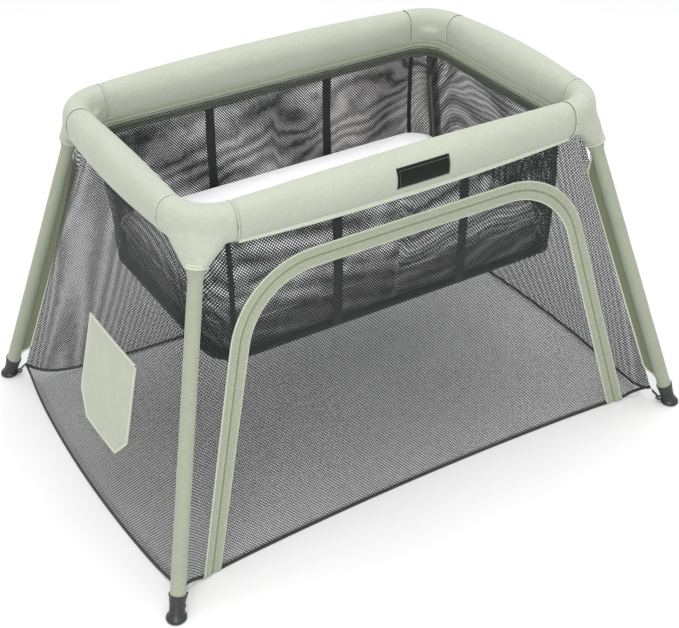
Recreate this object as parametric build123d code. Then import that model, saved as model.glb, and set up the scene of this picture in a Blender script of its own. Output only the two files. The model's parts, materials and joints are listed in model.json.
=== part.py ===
from build123d import *
import math
import os

# A travel play yard: a padded rim on four splayed legs, mesh walls with a zipped arch door in front, a
# hanging bassinet with a mattress, and a floor sheet. Millimetres, +Z up, origin on the floor at the centre,
# +X along the long side, -Y the door side. The yard folds like a book about hinges hidden in the middle of
# both long rails, so everything but the hinge links belongs to a left or a right half.

# Driving dimensions
FOOT_X, FOOT_Y = 550.0, 400.0          # foot centres on the floor, measured from the middle
LEG_TOP_X, LEG_TOP_Y = 385.5, 242.7    # where the leg axes reach the height below
LEG_TOP_Z = 621.0
RIM_X, RIM_Y = 402.0, 252.0            # where the long and end rails would cross at a square corner
RIM_BOW = 8.0                          # how far each rail bows outwards in its middle
RIM_CORNER_R = 75.0
TUBE_Z = 626.0                         # height of the rim tubes
TUBE_R, TUBE_BORE = 11.0, 9.5
PLUG_R, PLUG_LENGTH = 9.0, 22.0
PAD_WIDE, PAD_TALL, PAD_ROUND = 50.0, 76.0, 20.0
PAD_Z = 621.0                          # middle height of the rim padding
SEAM_GAP = 0.5
FIT_GAP = 0.3

# Rail hinge
PIN_X, PIN_Z, PIN_R = 24.0, 638.0, 3.0
RUNNING_CLEARANCE = 0.05
EAR_R, SLOT_HALF, SOCKET_HALF = 9.0, 6.0, 11.0
LINK_R, LINK_HALF = 8.5, 5.8
SOCKET_END, SLOT_ROOT, SOCKET_BOTTOM = 60.0, 33.0, 613.0
SLEEVE_END = 64.0
RELEASE_X, RELEASE_R, RELEASE_TRAVEL = 47.0, 6.0, 4.0

# Leg pivot, measured along the leg from the pivot pin
PIVOT_Z = 565.0
FORK_R, FORK_ROOT, FORK_TOP = 10.0, 14.0, 62.0
TONGUE_R, TONGUE_HALF, SHOULDER = 9.5, 5.85, 16.0
LEG_TUBE_START, LEG_SLEEVE_START = 22.0, 30.0
LEG_SLEEVE_R = 14.0
LEG_CROSSING = 0.08                    # how far a folded leg leans off the end rail's line, per unit length
FOOT_R, FOOT_TALL, FOOT_NECK = 18.0, 7.0, 36.0
SOCK_LOW, SOCK_HIGH = -12.0, 48.0

# Walls: a flat front and back, narrow strips out to the legs, and flat ends
WALL_TOP, WALL_FOOT = 580.0, 4.0
FRONT_TOP_Y, FRONT_FOOT_Y = 262.0, 338.0
END_TOP_X, END_FOOT_X = 412.0, 541.0
MESH_THICK, BAND_THICK = 2.0, 3.0

# Door arch, in the plane of the front wall
ARCH_HALF, ARCH_TOP, ARCH_LEAN, ARCH_ROUND = 474.0, 540.0, 0.262, 150.0
BAND_WIDE, ZIP_GAP = 17.0, 1.0

# Bassinet, mattress and floor
BASSINET_TOP_X, BASSINET_TOP_Y = 375.0, 228.0
BASSINET_LOW_X, BASSINET_LOW_Y = 361.0, 226.0
BASSINET_BOTTOM, BASSINET_WALL = 334.0, 2.0
BASSINET_BAND_LOW = 556.0
MATTRESS_X, MATTRESS_Y, MATTRESS_TALL, MATTRESS_ROUND = 352.0, 221.0, 78.0, 45.0
POCKET_HALF, POCKET_FORWARD = 98.0, 37.0
POCKET_TOP, POCKET_CORNER, POCKET_FOOT = 322.0, 165.0, 125.0   # up the end wall
HALF_GAP = 0.75                        # each half stops this far from the middle plane


# ---- Rim outline ------------------------------------------------------------------------------------------

def bow_radius(half):
    return half * half / (2 * RIM_BOW) + RIM_BOW / 2


LONG_R, END_R = bow_radius(RIM_X), bow_radius(RIM_Y)
LONG_MID, END_MID = RIM_Y + RIM_BOW, RIM_X + RIM_BOW


def rim_corner():
    """Centre of the corner arc between the +X end rail and the +Y long rail, and where it meets each."""
    cx, cy = END_MID - END_R, LONG_MID - LONG_R
    r_end, r_long = END_R - RIM_CORNER_R, LONG_R - RIM_CORNER_R
    apart = math.hypot(cx, cy)
    along = (r_long ** 2 - r_end ** 2 + apart ** 2) / (2 * apart)
    across = math.sqrt(r_long ** 2 - along ** 2)
    ux, uy = cx / apart, -cy / apart
    px, py = ux * along + uy * across, cy + uy * along - ux * across
    if px < 0 or py < 0:
        px, py = ux * along - uy * across, cy + uy * along + ux * across
    on_long = (px * LONG_R / r_long, cy + (py - cy) * LONG_R / r_long)
    on_end = (cx + (px - cx) * END_R / r_end, py * END_R / r_end)
    return (px, py), on_long, on_end


CORNER_CENTRE, ON_LONG, ON_END = rim_corner()


def long_rail_y(x):
    return LONG_MID - LONG_R + math.sqrt(LONG_R ** 2 - x * x)


def end_rail_x(y):
    return END_MID - END_R + math.sqrt(END_R ** 2 - y * y)


def long_path(sx, sy, start, stop, z):
    """Part of a long rail's line, from one distance off the middle to another."""
    mid = (start + stop) / 2
    points = [(sx * x, sy * long_rail_y(x), z) for x in (start, mid, stop)]
    return Edge.make_three_point_arc(*points)


def end_path(sx, half, z):
    return Edge.make_three_point_arc((sx * end_rail_x(half), -half, z), (sx * END_MID, 0, z),
                                     (sx * end_rail_x(half), half, z))


def corner_path(sx, sy, z):
    cx, cy = CORNER_CENTRE
    lean = math.atan2(ON_LONG[1] - cy + ON_END[1] - cy, ON_LONG[0] - cx + ON_END[0] - cx)
    middle = (cx + RIM_CORNER_R * math.cos(lean), cy + RIM_CORNER_R * math.sin(lean))
    points = [(sx * x, sy * y, z) for x, y in (ON_LONG, middle, ON_END)]
    return Edge.make_three_point_arc(*points)


def start_plane(path):
    return Plane(origin=path @ 0, z_dir=path % 0, x_dir=Vector(0, 0, 1).cross(path % 0))


def bar(path, radius):
    return sweep(start_plane(path) * Circle(radius), path=path)


def padding(path):
    return sweep(start_plane(path) * RectangleRounded(PAD_WIDE, PAD_TALL, PAD_ROUND), path=path)


def rail_tube(path):
    return bar(path, TUBE_R) - bar(path, TUBE_BORE)


def box(low, high):
    size = [b - a for a, b in zip(low, high)]
    return Pos(*[(a + b) / 2 for a, b in zip(low, high)]) * Box(*size)


def plug(path, at, forward):
    """A round stub that runs on from one end of a path, into the tube beyond it."""
    away = (path % at) * (1 if forward else -1)
    return Plane(origin=path @ at, z_dir=away) * Pos(0, 0, PLUG_LENGTH / 2) * Cylinder(PLUG_R, PLUG_LENGTH)


# ---- Legs -------------------------------------------------------------------------------------------------

def leg_direction(sx, sy):
    top = Vector(sx * LEG_TOP_X, sy * LEG_TOP_Y, LEG_TOP_Z)
    return (Vector(sx * FOOT_X, sy * FOOT_Y, 0) - top).normalized()


def leg_point(sx, sy, z):
    share = 1 - z / LEG_TOP_Z
    return Vector(sx * (LEG_TOP_X + (FOOT_X - LEG_TOP_X) * share),
                  sy * (LEG_TOP_Y + (FOOT_Y - LEG_TOP_Y) * share), z)


def folded_direction(sx, sy):
    """A folded leg lies under its end rail; the front one leans outwards and the back one inwards."""
    lean = -sx * LEG_CROSSING if sy > 0 else sx * LEG_CROSSING
    return Vector(lean, -sy, 0).normalized()


def leg_plane(sx, sy):
    """Local frame at the pivot: Z up the leg, X along the pivot pin."""
    down = leg_direction(sx, sy)
    pin = down.cross(folded_direction(sx, sy)).normalized()
    return Plane(origin=leg_point(sx, sy, PIVOT_Z), x_dir=pin, z_dir=down * -1)


LEG_LENGTH = (Vector(FOOT_X, FOOT_Y, 0) - leg_point(1, 1, PIVOT_Z)).length
SLOPE = -leg_direction(1, 1).Z


def rod(radius, length, x_at=0.0):
    """A pin along local X."""
    return Pos(x_at, 0, 0) * Rot(0, 90, 0) * Cylinder(radius, length)


def up_leg(radius, low, high):
    return Pos(0, 0, (low + high) / 2) * Cylinder(radius, high - low)


def corner_joint(sx, sy):
    """Elbow that plugs into the end rail and the long rail, with the fork that carries the leg."""
    path = corner_path(sx, sy, TUBE_Z)
    fork = box((-SOCKET_HALF, -FORK_R, 0), (SOCKET_HALF, FORK_R, FORK_TOP)) + rod(FORK_R, 2 * SOCKET_HALF)
    fork -= box((-SLOT_HALF, -2 * FORK_R, -2 * FORK_R), (SLOT_HALF, 2 * FORK_R, FORK_ROOT))
    fork -= rod(PIN_R, 4 * SOCKET_HALF)
    elbow = bar(path, TUBE_R + 2) + plug(path, 0, False) + plug(path, 1, True)
    return elbow + leg_plane(sx, sy) * fork


def leg_fitting(sx, sy):
    """Tongue in the corner fork, and the plug that holds the leg tube."""
    tongue = box((-TONGUE_HALF, -TONGUE_R, -SHOULDER), (TONGUE_HALF, TONGUE_R, 0))
    tongue += rod(TONGUE_R, 2 * TONGUE_HALF)
    shape = tongue + up_leg(TUBE_R, -LEG_TUBE_START, -SHOULDER)
    shape += up_leg(PLUG_R, -LEG_TUBE_START - PLUG_LENGTH, -LEG_TUBE_START)
    return leg_plane(sx, sy) * (shape - rod(PIN_R + RUNNING_CLEARANCE, 4 * TONGUE_HALF))


def leg_tube(sx, sy):
    low, high = -(LEG_LENGTH - FOOT_NECK / SLOPE), -LEG_TUBE_START
    return leg_plane(sx, sy) * (up_leg(TUBE_R, low, high) - up_leg(TUBE_BORE, low - 1, high + 1))


def leg_sleeve(sx, sy):
    low, high = -(LEG_LENGTH - FOOT_NECK / SLOPE), -LEG_SLEEVE_START
    return leg_plane(sx, sy) * (up_leg(LEG_SLEEVE_R, low, high) - up_leg(TUBE_R + FIT_GAP, low - 1, high + 1))


def leg_foot(sx, sy):
    """Flared rubber pad, neck and plug, with a loop that the walls' lower corner is tied to."""
    neck_top = -(LEG_LENGTH - FOOT_NECK / SLOPE) - FIT_GAP
    neck_low = -(LEG_LENGTH - FOOT_TALL / SLOPE)
    tall = neck_top - neck_low
    neck = Pos(0, 0, neck_low + tall / 2) * Cone(FOOT_R - 3, TUBE_R + 1, tall)
    stub = up_leg(PLUG_R, neck_top, neck_top + PLUG_LENGTH)
    inward = math.degrees(math.atan2(-sy, -sx))
    loop = Pos(FOOT_R + 2, 0, FOOT_TALL / 2 + 3) * (Cylinder(6, 4) - Cylinder(3, 5))
    pad = Pos(0, 0, FOOT_TALL / 2) * Cylinder(FOOT_R, FOOT_TALL)
    base = Pos(sx * FOOT_X, sy * FOOT_Y, 0) * Rot(0, 0, inward) * (pad + loop)
    return base + leg_plane(sx, sy) * (neck + stub)


def corner_cover(sx, sy):
    """Fabric cover of one rim corner, with the sock that reaches down over the leg's top."""
    path = corner_path(sx, sy, PAD_Z)
    tall = SOCK_HIGH - SOCK_LOW
    sock = Pos(0, 0, SOCK_LOW + tall / 2) * Cone(18.2, 23.5, tall)
    hollow = up_leg(16.2, SOCK_LOW - 1, SOCK_HIGH - 4)
    plane = leg_plane(sx, sy)
    wide, deep = SOCKET_HALF + FIT_GAP, FORK_R + FIT_GAP
    hollow += box((-wide, -deep, SOCK_LOW), (wide, deep, FORK_TOP + FIT_GAP))
    cover = padding(path) + plane * sock - bar(corner_path(sx, sy, TUBE_Z), TUBE_R + 2 + FIT_GAP)
    return cover - plane * hollow


# ---- Rail hinge -------------------------------------------------------------------------------------------

def hinge_socket(sx, sy):
    """End of a long rail's half: a block with a fork round the pin, plugged into the tube."""
    y = sy * LONG_MID
    block = box((SLOT_ROOT, -SOCKET_HALF, SOCKET_BOTTOM), (SOCKET_END, SOCKET_HALF, PIN_Z + EAR_R))
    ears = box((PIN_X, -SOCKET_HALF, PIN_Z - EAR_R), (SLOT_ROOT, SOCKET_HALF, PIN_Z + EAR_R))
    ears += Pos(PIN_X, 0, PIN_Z) * Rot(90, 0, 0) * Cylinder(EAR_R, 2 * SOCKET_HALF)
    ears -= box((0, -SLOT_HALF, 600), (SLOT_ROOT, SLOT_HALF, 660))
    stub = Pos(SOCKET_END + PLUG_LENGTH / 2, 0, TUBE_Z) * Rot(0, 90, 0) * Cylinder(PLUG_R, PLUG_LENGTH)
    shape = block + ears + stub
    shape -= Pos(PIN_X, 0, PIN_Z) * Rot(90, 0, 0) * Cylinder(PIN_R + RUNNING_CLEARANCE, 60)
    if sx < 0:
        bore = RELEASE_TRAVEL + 5
        shape -= Pos(RELEASE_X, 0, SOCKET_BOTTOM + bore / 2) * Cylinder(RELEASE_R + FIT_GAP, bore)
        shape = mirror(shape, about=Plane.YZ)
    return Pos(0, y, 0) * shape


def hinge_link(sy):
    bar_box = box((-PIN_X, -LINK_HALF, PIN_Z - LINK_R), (PIN_X, LINK_HALF, PIN_Z + LINK_R))
    shape = bar_box
    for sx in (-1, 1):
        shape += Pos(sx * PIN_X, 0, PIN_Z) * Rot(90, 0, 0) * Cylinder(LINK_R, 2 * LINK_HALF)
    for sx in (-1, 1):
        shape -= Pos(sx * PIN_X, 0, PIN_Z) * Rot(90, 0, 0) * Cylinder(PIN_R, 60)
    return Pos(0, sy * LONG_MID, 0) * shape


def hinge_pin(sx, sy):
    return Pos(sx * PIN_X, sy * LONG_MID, PIN_Z) * Rot(90, 0, 0) * Cylinder(PIN_R, 2 * SOCKET_HALF + 1)


def rail_release(sy):
    """Round button under the rail, pressed upwards through the fabric to let the hinge fold."""
    tall = 14.5
    low = SOCKET_BOTTOM + 4.5 - tall
    return Pos(-RELEASE_X, sy * LONG_MID, low + tall / 2) * Cylinder(RELEASE_R, tall)


def hinge_sleeve(sy):
    """Padding over the hinge, the same section as the rim pads, hollow round the sockets and the link."""
    y = sy * LONG_MID
    section = Plane(origin=(0, y, PAD_Z), x_dir=(0, 1, 0), z_dir=(1, 0, 0)) * RectangleRounded(PAD_WIDE, PAD_TALL,
                                                                                             PAD_ROUND)
    shape = extrude(section, SLEEVE_END - SEAM_GAP, both=True)
    return shape - box((-SLEEVE_END, y - 13.5, 600), (SLEEVE_END, y + 13.5, 650))


def label_patch():
    y = -LONG_MID - PAD_WIDE / 2 - 0.6
    return box((-50, y - 1.5, 612), (50, y, 648))


# ---- Walls ------------------------------------------------------------------------------------------------

def wall_plane(sy):
    """The front or back wall's plane: origin on its lower edge, X along the yard, Y up the wall."""
    up = Vector(0, sy * (FRONT_TOP_Y - FRONT_FOOT_Y), WALL_TOP - WALL_FOOT).normalized()
    x_dir = Vector(-sy, 0, 0)
    return Plane(origin=(0, sy * FRONT_FOOT_Y, WALL_FOOT), x_dir=x_dir, z_dir=x_dir.cross(up))


WALL_SLANT = math.hypot(FRONT_TOP_Y - FRONT_FOOT_Y, WALL_TOP - WALL_FOOT)
TOP_HALF, FOOT_HALF = 340.0, 474.0


def arch(inset, margin=0.0):
    """The door arch's outline, drawn in from its outer edge by an inset, as a face that starts on the hem."""
    across = inset * math.hypot(1, ARCH_LEAN)
    low, top = ARCH_HALF - across, ARCH_TOP - inset
    half_top = low - ARCH_LEAN * top
    wide = low + ARCH_LEAN * margin
    outline = Polyline((-wide, -margin), (wide, -margin), (half_top, top), (-half_top, top), close=True)
    face = make_face(outline)
    corners = face.vertices().sort_by(Axis.Y)[-2:]
    return fillet(corners, ARCH_ROUND - inset)


def half_of(face, side):
    """The part of a drawn face on one side of the middle."""
    reach = 2 * FOOT_X
    keep = Pos(side * (reach / 2 + HALF_GAP), 0, 0) * Rectangle(reach, 4 * WALL_SLANT)
    return face & keep


def slab(face, thick):
    return extrude(face, thick / 2, both=True)


def ruled_strip(sx, sy):
    """Narrow strip of wall that turns out from the flat front or back wall to the leg."""
    low_out, high_out = leg_point(sx, sy, 30), leg_point(sx, sy, 565)
    low = [(sx * FOOT_HALF, sy * FRONT_FOOT_Y, WALL_FOOT), (low_out.X - sx * 17, low_out.Y - sy * 12, 14)]
    high = [(sx * TOP_HALF, sy * (FRONT_TOP_Y + 1), WALL_TOP - 12), (high_out.X - sx * 32, high_out.Y, 555)]
    sections = []
    for inner, outer in (low, high):
        a, b = Vector(*inner), Vector(*outer)
        run = (b - a).normalized()
        side = Vector(-run.Y, run.X, 0).normalized() * (MESH_THICK / 2)
        start = a + run * SEAM_GAP * 2
        sections.append(make_face(Polyline(start + side, b + side, b - side, start - side, close=True)))
    return loft(sections, ruled=True)


def front_wall(sx):
    """Mesh of the front wall's half, outside the door arch."""
    outline = Polyline((-FOOT_HALF, 0), (FOOT_HALF, 0), (TOP_HALF, WALL_SLANT), (-TOP_HALF, WALL_SLANT), close=True)
    face = make_face(outline) - arch(0, margin=20)
    return wall_plane(-1) * slab(half_of(face, sx), MESH_THICK)


def back_wall(sx):
    outline = Polyline((-FOOT_HALF, 0), (FOOT_HALF, 0), (TOP_HALF, WALL_SLANT), (-TOP_HALF, WALL_SLANT), close=True)
    return wall_plane(1) * slab(half_of(make_face(outline), -sx), MESH_THICK)


def end_wall_plane(sx):
    up = Vector(sx * (END_TOP_X - END_FOOT_X), 0, WALL_TOP - WALL_FOOT).normalized()
    x_dir = Vector(0, sx, 0)
    return Plane(origin=(sx * END_FOOT_X, 0, WALL_FOOT), x_dir=x_dir, z_dir=x_dir.cross(up))


def end_wall(sx):
    tall = math.hypot(END_TOP_X - END_FOOT_X, WALL_TOP - WALL_FOOT)
    outline = Polyline((-372, 0), (372, 0), (222, tall), (-222, tall), close=True)
    return end_wall_plane(sx) * slab(make_face(outline), MESH_THICK)


def skirt(sx):
    """The wall mesh of one half: end, front outside the arch, back, and the strips out to both legs."""
    panels = [end_wall(sx), front_wall(sx), back_wall(sx), ruled_strip(sx, 1), ruled_strip(sx, -1)]
    return [solid for panel in panels for solid in panel.solids()]


def arch_band(sx, outer, inner):
    return wall_plane(-1) * slab(half_of(arch(outer) - arch(inner, margin=20), sx), BAND_THICK)


def door_surround(sx):
    return arch_band(sx, SEAM_GAP, BAND_WIDE)


def door_binding(sx):
    return arch_band(sx, BAND_WIDE + ZIP_GAP, 2 * BAND_WIDE + ZIP_GAP)


def door_mesh(sx):
    return wall_plane(-1) * slab(half_of(arch(2 * BAND_WIDE + ZIP_GAP + SEAM_GAP), sx), MESH_THICK)


# ---- Door zip ---------------------------------------------------------------------------------------------

ZIP_UP, ZIP_OUT = 30.0, 11.0           # rest place of the slider: up the wall, and outwards of the zip line


def slider_plane():
    """At the slider, X across the zip, Y up along it, Z off the wall."""
    across = (BAND_WIDE + ZIP_GAP / 2) * math.hypot(1, ARCH_LEAN)
    plane = wall_plane(-1)
    u = ARCH_HALF - across - ARCH_LEAN * ZIP_UP + ZIP_OUT
    origin = plane.from_local_coords(Vector(u, ZIP_UP, 0))
    up = (plane.y_dir - plane.x_dir * ARCH_LEAN).normalized()
    return Plane(origin=origin, x_dir=up.cross(plane.z_dir), z_dir=plane.z_dir)


PULL_AXIS_Y, PULL_AXIS_Z = -9.5, 4.6


def zip_slider():
    body = box((-5, -6.5, 2.2), (5, 6.5, 6.6))
    for side in (-1, 1):
        body += box((side * 4.4 - 0.6, -11, 3.2), (side * 4.4 + 0.6, -6, 6))
    return slider_plane() * (body + Pos(0, PULL_AXIS_Y, PULL_AXIS_Z) * rod(0.7, 9))


def zip_pull():
    tab = box((-3.4, -22, 3.7), (3.4, -7.9, 5.5))
    return slider_plane() * (tab - Pos(0, PULL_AXIS_Y, PULL_AXIS_Z) * rod(0.77, 9))


# ---- Bassinet, mattress, floor and pocket -----------------------------------------------------------------

def bassinet_form(grow, low, high):
    """The bassinet's tapering outline as a solid between two heights, grown or shrunk by an offset."""
    sections = []
    for z in (low, high):
        share = (z - BASSINET_BOTTOM) / (WALL_TOP - BASSINET_BOTTOM)
        x = BASSINET_LOW_X + (BASSINET_TOP_X - BASSINET_LOW_X) * share + grow
        y = BASSINET_LOW_Y + (BASSINET_TOP_Y - BASSINET_LOW_Y) * share + grow
        sections.append(Pos(0, 0, z) * RectangleRounded(2 * x, 2 * y, 55 + grow))
    return loft(sections, ruled=True)


def side_of(shape, sx):
    return shape & box((min(sx * HALF_GAP, sx * 700), -500, -10), (max(sx * HALF_GAP, sx * 700), 500, 800))


def bassinet(sx):
    shell = bassinet_form(0, BASSINET_BOTTOM, WALL_TOP)
    shell -= bassinet_form(-BASSINET_WALL, BASSINET_BOTTOM + BASSINET_WALL, WALL_TOP + 5)
    return side_of(shell, sx)


def bassinet_band(sx):
    """Zip tape round the bassinet's top, outside its mesh."""
    ring = bassinet_form(BAND_THICK + FIT_GAP, BASSINET_BAND_LOW, WALL_TOP)
    ring -= bassinet_form(FIT_GAP, BASSINET_BAND_LOW - 5, WALL_TOP + 5)
    return side_of(ring, sx)


def mattress(sx):
    base = BASSINET_BOTTOM + BASSINET_WALL + FIT_GAP
    slab_face = RectangleRounded(2 * MATTRESS_X, 2 * MATTRESS_Y, MATTRESS_ROUND)
    return side_of(Pos(0, 0, base) * extrude(slab_face, MATTRESS_TALL), sx)


def floor_sheet(sx):
    face = RectangleRounded(2 * (END_FOOT_X - 8), 2 * (FRONT_FOOT_Y - 4), 20)
    return side_of(Pos(0, 0, 0.5) * extrude(face, 2), sx)


def pocket():
    """Flat pocket outside the left end wall, nearer the front leg, its lower corners cut off."""
    half, top, corner, foot = POCKET_HALF, POCKET_TOP, POCKET_CORNER, POCKET_FOOT
    outline = Polyline((-half, top), (half, top), (half, corner), (half - 36, foot), (36 - half, foot),
                       (-half, corner), close=True)
    return end_wall_plane(-1) * Pos(POCKET_FORWARD, 0, MESH_THICK / 2 + 0.5) * extrude(make_face(outline), 4)


# ---- Parts ------------------------------------------------------------------------------------------------

SIDES = {"left": -1, "right": 1}
FRONTS = {"front": -1, "back": 1}


def parts():
    made = {}
    half = ON_END[1] - SEAM_GAP
    reach = ON_LONG[0] - SEAM_GAP
    tube_start = SOCKET_END + SEAM_GAP
    for side, sx in SIDES.items():
        tubes = [rail_tube(end_path(sx, ON_END[1], TUBE_Z))]
        tubes += [rail_tube(long_path(sx, sy, tube_start, ON_LONG[0], TUBE_Z)) for sy in FRONTS.values()]
        made["rim_tubes_" + side] = tubes
        made["corner_joints_" + side] = [corner_joint(sx, sy) for sy in FRONTS.values()]
        made["hinge_sockets_" + side] = [hinge_socket(sx, sy) for sy in FRONTS.values()]
        made["leg_pins_" + side] = [leg_plane(sx, sy) * rod(PIN_R, 2 * SOCKET_HALF) for sy in FRONTS.values()]
        made["corner_covers_" + side] = [corner_cover(sx, sy) for sy in FRONTS.values()]
        made["rim_pad_end_" + side] = [padding(end_path(sx, half, PAD_Z)) - bar(end_path(sx, ON_END[1], TUBE_Z),
                                                                                TUBE_R + FIT_GAP)]
        for front, sy in FRONTS.items():
            core = bar(long_path(sx, sy, SOCKET_END, ON_LONG[0], TUBE_Z), TUBE_R + FIT_GAP)
            made[f"rim_pad_{front}_{side}"] = [padding(long_path(sx, sy, SLEEVE_END, reach, PAD_Z)) - core]
            made[f"leg_tube_{front}_{side}"] = [leg_tube(sx, sy)]
            made[f"leg_fitting_{front}_{side}"] = [leg_fitting(sx, sy)]
            made[f"leg_sleeve_{front}_{side}"] = [leg_sleeve(sx, sy)]
            made[f"leg_foot_{front}_{side}"] = [leg_foot(sx, sy)]
        made["skirt_" + side] = skirt(sx)
        made["door_surround_" + side] = [door_surround(sx)]
        made["door_binding_" + side] = [door_binding(sx)]
        made["door_mesh_" + side] = [door_mesh(sx)]
        made["bassinet_" + side] = [bassinet(sx)]
        made["bassinet_band_" + side] = [bassinet_band(sx)]
        made["mattress_" + side] = [mattress(sx)]
        made["floor_sheet_" + side] = [floor_sheet(sx)]
    for front, sy in FRONTS.items():
        made["hinge_link_" + front] = [hinge_link(sy)]
        made["hinge_sleeve_" + front] = [hinge_sleeve(sy)]
        made["rail_release_" + front] = [rail_release(sy)]
    made["hinge_pins"] = [hinge_pin(sx, sy) for sx in SIDES.values() for sy in FRONTS.values()]
    made["label_patch"] = [label_patch()]
    made["end_pocket"] = [pocket()]
    made["zip_slider"] = [zip_slider()]
    made["zip_pull"] = [zip_pull()]
    return made


os.makedirs("parts", exist_ok=True)
for name, shapes in parts().items():
    solids = [solid for shape in shapes for solid in shape.solids()]
    export_step(solids[0] if len(solids) == 1 else Compound(children=solids), f"parts/{name}.step")
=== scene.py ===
import json
import math

import bmesh
import bpy
import numpy as np
from mathutils.bvhtree import BVHTree
from mathutils import Matrix, Vector, noise


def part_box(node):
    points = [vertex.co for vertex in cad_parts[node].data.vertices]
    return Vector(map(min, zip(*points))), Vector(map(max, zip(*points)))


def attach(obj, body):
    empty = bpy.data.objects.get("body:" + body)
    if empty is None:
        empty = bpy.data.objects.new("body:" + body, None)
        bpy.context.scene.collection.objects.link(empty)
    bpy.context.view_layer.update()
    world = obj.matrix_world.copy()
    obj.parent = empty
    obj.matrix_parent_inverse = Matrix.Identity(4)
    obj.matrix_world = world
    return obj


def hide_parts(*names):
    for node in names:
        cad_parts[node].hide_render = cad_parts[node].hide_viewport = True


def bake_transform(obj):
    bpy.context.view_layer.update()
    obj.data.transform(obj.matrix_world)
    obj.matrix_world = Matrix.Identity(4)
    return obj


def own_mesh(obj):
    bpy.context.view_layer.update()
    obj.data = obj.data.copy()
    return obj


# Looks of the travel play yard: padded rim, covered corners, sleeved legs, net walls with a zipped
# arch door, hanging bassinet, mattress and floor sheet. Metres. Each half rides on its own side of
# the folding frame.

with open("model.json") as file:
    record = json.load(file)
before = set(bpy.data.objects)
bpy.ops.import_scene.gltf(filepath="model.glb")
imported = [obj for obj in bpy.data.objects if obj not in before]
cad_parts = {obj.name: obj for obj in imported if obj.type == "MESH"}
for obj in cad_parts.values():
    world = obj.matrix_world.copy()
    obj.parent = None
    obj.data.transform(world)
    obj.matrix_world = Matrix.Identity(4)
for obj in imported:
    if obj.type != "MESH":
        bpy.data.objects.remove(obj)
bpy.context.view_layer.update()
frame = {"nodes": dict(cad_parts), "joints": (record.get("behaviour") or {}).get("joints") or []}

SIDES = {"left": -1, "right": 1}
FRONTS = {"front": -1, "back": 1}
CORNERS = [(front, side, sx, sy) for front, sy in FRONTS.items() for side, sx in SIDES.items()]
JOINTS = {joint["name"]: joint for joint in frame["joints"]}


# ---- Places, read from the CAD ----------------------------------------------------------------------------

sleeve_low, sleeve_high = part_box("hinge_sleeve_back")
RAIL_Y = (sleeve_low.y + sleeve_high.y) / 2
PAD_WIDE = sleeve_high.y - sleeve_low.y
RIM_LOW, RIM_HIGH = sleeve_low.z, sleeve_high.z
END_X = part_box("rim_pad_end_right")[1].x - PAD_WIDE / 2
RIM_BOW, CORNER_R = 0.008, 0.075      # how far each rail bows out, and the corners' radius in plan
PIVOT = Vector(JOINTS["leg_fold_back_right"]["pos_m"])
FOOT_R = 0.018
foot_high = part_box("leg_foot_back_right")[1]
FOOT = Vector((foot_high.x - FOOT_R, foot_high.y - FOOT_R, 0))
NECK_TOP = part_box("leg_tube_back_right")[0].z + 0.004
WALL_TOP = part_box("skirt_right")[1].z + 0.006
BASSINET_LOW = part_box("bassinet_right")[0].z
bassinet_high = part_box("bassinet_right")[1]
BASSINET_X, BASSINET_Y = bassinet_high.x, bassinet_high.y
MATTRESS_LOW, MATTRESS_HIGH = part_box("mattress_right")[0].z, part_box("mattress_right")[1].z
MATTRESS_X, MATTRESS_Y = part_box("mattress_right")[1].x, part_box("mattress_right")[1].y
LABEL_LOW, LABEL_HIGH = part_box("label_patch")
ARCH_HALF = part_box("door_surround_right")[1].x
ARCH_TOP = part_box("door_surround_right")[1].z
UPRIGHT = Vector((0, 0, 1))


# ---- Mesh helpers -----------------------------------------------------------------------------------------

def smoothstep(t):
    t = min(1.0, max(0.0, t))
    return t * t * (3 - 2 * t)


def mix(a, b, t):
    return a + (b - a) * t


def linked(name, data):
    made = bpy.data.objects.new(name, data)
    bpy.context.scene.collection.objects.link(made)
    return made


def from_bmesh(name, bm):
    mesh = bpy.data.meshes.new(name)
    bm.to_mesh(mesh)
    bm.free()
    return linked(name, mesh)


def finish_mesh(mesh, sharp=60.0):
    mesh.shade_smooth()
    mesh.set_sharp_from_angle(angle=math.radians(sharp))


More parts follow.
